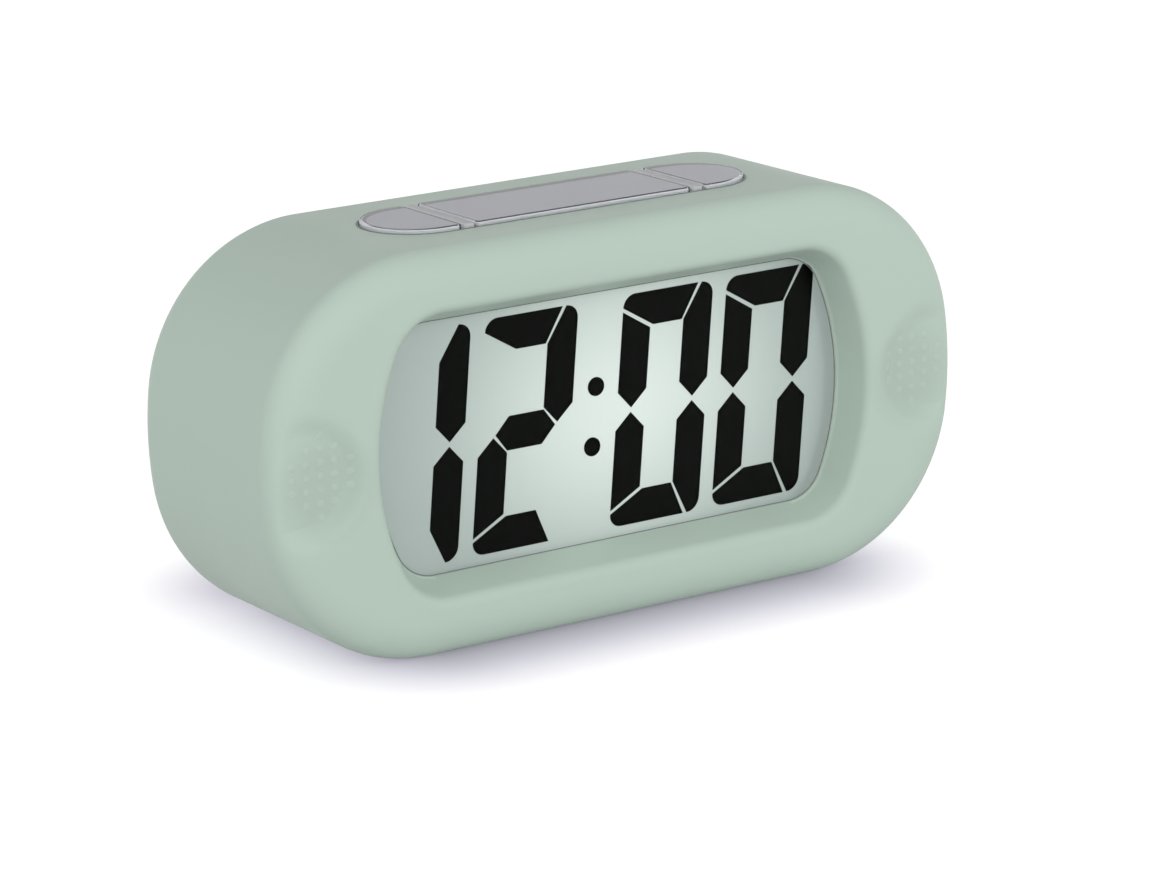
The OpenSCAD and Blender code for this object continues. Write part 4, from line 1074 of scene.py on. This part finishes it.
def make_ribbon(node, path):
    """Flat film along a path of (y, z) points."""
    lo, hi = span(node)
    bm = bmesh.new()
    rings = []
    points = smooth_path([(0, y, z) for y, z in path], 8)
    for i, p in enumerate(points):
        ahead = points[min(i + 1, len(points) - 1)] - points[max(i - 1, 0)]
        half = Vector((0, -ahead.z, ahead.y)).normalized() * RIBBON_T / 2
        corners = [(lo.x, half), (hi.x, half), (hi.x, -half), (lo.x, -half)]
        rings.append([bm.verts.new((Vector((x, p.y, p.z)) + offset) * MM) for x, offset in corners])
    skin(bm, rings)
    piece(node + "_film", bm, [ribbon_film], "clock", [node])


def make_ribbons():
    lo, hi = span("key_ribbon")
    y, z = hi.y - RIBBON_ROOM, lo.z + RIBBON_ROOM
    make_ribbon("key_ribbon", [(y, hi.z), (y, z + 3), (y - 0.1, z + 1.2), (y - 0.7, z + 0.2), (lo.y, z)])
    lo, hi = span("control_ribbon")
    z = (lo.z + hi.z) / 2
    middle = (lo.y + hi.y) / 2
    make_ribbon("control_ribbon", [
        (lo.y, z), (lo.y + 3, z - 0.05), (middle, z + 0.1), (hi.y - 3, z), (hi.y, z),
    ])


def make_zebra():
    """Connector strip of conducting and plain rubber between the display and the main board."""
    lo, hi = span("zebra_strip")
    bm = bmesh.new()
    sweep(bm, rounded_rect(lo.y, hi.y, lo.z, hi.z, 0.4), rounded(lo.x, hi.x, 0.2, 0.2, 3), along)
    piece("zebra_bar", bm, [zebra], "clock", ["zebra_strip"])


def make_cone():
    """Speaker's cone: dust cap, paper cone and a rolled surround."""
    lo, hi = span("speaker_cone")
    x, y = (lo.x + hi.x) / 2, (lo.z + hi.z) / 2 - MID_Z
    reach = (hi.x - lo.x) / 2
    roll_r = reach - CONE_ROLL
    roll_w = reach - CONE_RIM - roll_r
    depth = hi.y - lo.y - PAPER_T
    cap = [(CONE_CAP_R * t, depth * 0.7 * t * t) for t in spread(0.05, 1, 8)]
    cone = line((CONE_CAP_R, depth * 0.9), (roll_r, CONE_LIFT), 5)
    roll = [
        (roll_r + roll_w * t, CONE_LIFT + CONE_ROLL_RISE * math.sin(math.pi * t))
        for t in spread(0, 1, 8)[1:]
    ]
    front = cap + cone + roll + [(reach, CONE_LIFT)]
    back = [(r, d + PAPER_T) for r, d in reversed(front)]
    bm = bmesh.new()
    sweep(bm, circle(x, y, 0), [(r, d - hi.y) for r, d in front + back], facing)
    piece("speaker_diaphragm", bm, [paper], "clock", ["speaker_cone"])


CELL_ROWS = [("upper_cell", True), ("middle_cell", False), ("lower_cell", True)]

make_sleeve()
make_grip_dots()
make_lens_shade_bead()
make_opening_shade_bead()
make_keys()
make_button("time_button")
make_button("alarm_button")
make_knob()
make_door()
for cell, points_left in CELL_ROWS:
    make_cell(cell, points_left)
make_springs(CELL_ROWS)
make_cell_lead("positive_lead", red_skin, 1)
make_cell_lead("negative_lead", black_skin, -1)
make_speaker_leads()
make_ribbons()
make_zebra()
make_cone()


# Camera, floor and light

IMAGE_W = 1160
FOCAL_PX = 4451.4
CAMERA_AZ = -32.98
CAMERA_EL = 14.3
CAMERA_ROLL = -1.59
CAMERA_DISTANCE = 768.15
CAMERA_SHIFT_PX = (19.95, -39.22)
SENSOR_W = 36.0
TARGET = Vector((0, 0, MID_Z)) * MM


def direction(azimuth, elevation):
    """Unit vector from the clock towards a place round it."""
    a, e = math.radians(azimuth), math.radians(elevation)
    return Vector((math.sin(a) * math.cos(e), -math.cos(a) * math.cos(e), math.sin(e)))


def make_camera():
    data = bpy.data.cameras.new("camera")
    data.sensor_width = SENSOR_W
    data.lens = FOCAL_PX / IMAGE_W * SENSOR_W
    data.shift_x = CAMERA_SHIFT_PX[0] / IMAGE_W
    data.shift_y = CAMERA_SHIFT_PX[1] / IMAGE_W
    camera = bpy.data.objects.new("camera", data)
    bpy.context.scene.collection.objects.link(camera)
    back = direction(CAMERA_AZ, CAMERA_EL)
    a = math.radians(CAMERA_AZ)
    right = Vector((math.cos(a), math.sin(a), 0))
    up = back.cross(right)
    roll = math.radians(CAMERA_ROLL)
    rolled_right = right * math.cos(roll) + up * math.sin(roll)
    rolled_up = up * math.cos(roll) - right * math.sin(roll)
    turn = Matrix((rolled_right, rolled_up, back)).transposed()
    camera.matrix_world = Matrix.Translation(TARGET + back * CAMERA_DISTANCE * MM) @ turn.to_4x4()
    bpy.context.scene.camera = camera


FLOOR_SIZE = 8.0
FLOOR_ALBEDO = 0.65
FLOOR_SEEN = 0.3
FLOOR_LIFT = 0.9
# Painted shadow round the clock's footprint: its lift, purple tint, centre, half size and fade
SHADE_LIFT = 0.15
SHADE_TINT = (0.95, 0.9, 1.15, 1)
PAINTED_SHADOW_CENTRE = (0.5, 8.7)
PAINTED_SHADOW_HALF = (34.5, 23)
PAINTED_SHADOW_FADE = (-1.5, 35)
AMBIENT = 0.28

# Name, azimuth, elevation, distance and size in metres, level
SOFTBOXES = [
    ("front_box", -33, 15, 1.5, 1.0, 0.27),
    ("left_box", -90, 20, 1.2, 0.8, 0.3),
    ("right_box", 25, 16, 1.2, 0.8, 0.45),
    ("end_box", 100, 4, 1.2, 0.6, 0.14),
    ("rear_box", 180, 4, 1.2, 0.5, 0.36),
]


def seen(nodes):
    """1 for rays from the camera and for those that gloss and glass send on."""
    path = nodes.add("ShaderNodeLightPath").outputs
    sent = nodes.calc("MAXIMUM", path["Is Glossy Ray"], path["Is Transmission Ray"])
    return nodes.calc("MAXIMUM", sent, path["Is Camera Ray"])


def make_floor():
    """Pale floor that looks white where it is lit, keeps a weak share of the clock's real shadow, and has a
    painted shadow round the clock's footprint.
    """
    material, nodes = new_material("floor")
    plain = nodes.add("ShaderNodeBsdfDiffuse", {"Color": (FLOOR_ALBEDO, FLOOR_ALBEDO, FLOOR_ALBEDO, 1)})
    dull = nodes.add("ShaderNodeBsdfDiffuse", {"Color": (FLOOR_SEEN, FLOOR_SEEN, FLOOR_SEEN, 1)})
    # Painted shadow: the floor's lift is low and tinted near the footprint and fades to white away from it
    centre = (PAINTED_SHADOW_CENTRE[0] * MM, PAINTED_SHADOW_CENTRE[1] * MM, 0)
    foot = (PAINTED_SHADOW_HALF[0] * MM, PAINTED_SHADOW_HALF[1] * MM, 0)
    across = nodes.vector("ABSOLUTE", nodes.vector("SUBTRACT", nodes.place(), centre))
    outside = nodes.vector("MAXIMUM", nodes.vector("SUBTRACT", across, foot))
    away = nodes.vector("LENGTH", outside, output="Value")
    clear = nodes.smooth(away, PAINTED_SHADOW_FADE[0] * MM, PAINTED_SHADOW_FADE[1] * MM)
    lift = nodes.add("ShaderNodeEmission", {
        "Color": mix_colour(nodes, clear, SHADE_TINT, (1, 1, 1, 1)),
        "Strength": nodes.remap(clear, SHADE_LIFT, FLOOR_LIFT, 0.0, 1.0),
    })
    lifted = nodes.add("ShaderNodeAddShader", {0: dull.outputs[0], 1: lift.outputs[0]})
    mixed = nodes.add("ShaderNodeMixShader", {0: seen(nodes), 1: plain.outputs[0], 2: lifted.outputs[0]})
    nodes.add("ShaderNodeOutputMaterial", {"Surface": mixed.outputs[0]})
    bm = bmesh.new()
    bmesh.ops.create_grid(bm, x_segments=2, y_segments=2, size=FLOOR_SIZE / 2)
    mesh = bpy.data.meshes.new("floor")
    bm.to_mesh(mesh)
    bm.free()
    mesh.materials.append(material)
    floor = bpy.data.objects.new("floor", mesh)
    bpy.context.scene.collection.objects.link(floor)


def make_world():
    """Even pale light from all round, white where the camera sees it."""
    world = bpy.data.worlds.new("studio")
    world.use_nodes = True
    bpy.context.scene.world = world
    nodes = Nodes(world.node_tree)
    strength = nodes.remap(seen(nodes), AMBIENT, 1.0, 0.0, 1.0)
    ground = nodes.add("ShaderNodeBackground", {"Color": (1, 1, 1, 1), "Strength": strength})
    nodes.add("ShaderNodeOutputWorld", {"Surface": ground.outputs["Background"]})


def make_softbox(name, azimuth, elevation, distance, size, level):
    """Square lamp facing the clock, left out of mirror images; level is what it gives a white card there."""
    data = bpy.data.lights.new(name, "AREA")
    data.shape = "SQUARE"
    data.size = size
    data.energy = level * math.pi ** 2 * distance ** 2
    lamp = bpy.data.objects.new(name, data)
    lamp.visible_glossy = False
    bpy.context.scene.collection.objects.link(lamp)
    towards = direction(azimuth, elevation)
    lamp.location = TARGET + towards * distance
    lamp.rotation_mode = "QUATERNION"
    lamp.rotation_quaternion = (-towards).to_track_quat("-Z", "Y")


make_camera()
make_floor()
make_world()
for softbox in SOFTBOXES:
    make_softbox(*softbox)

bpy.context.scene.view_settings.view_transform = "Standard"
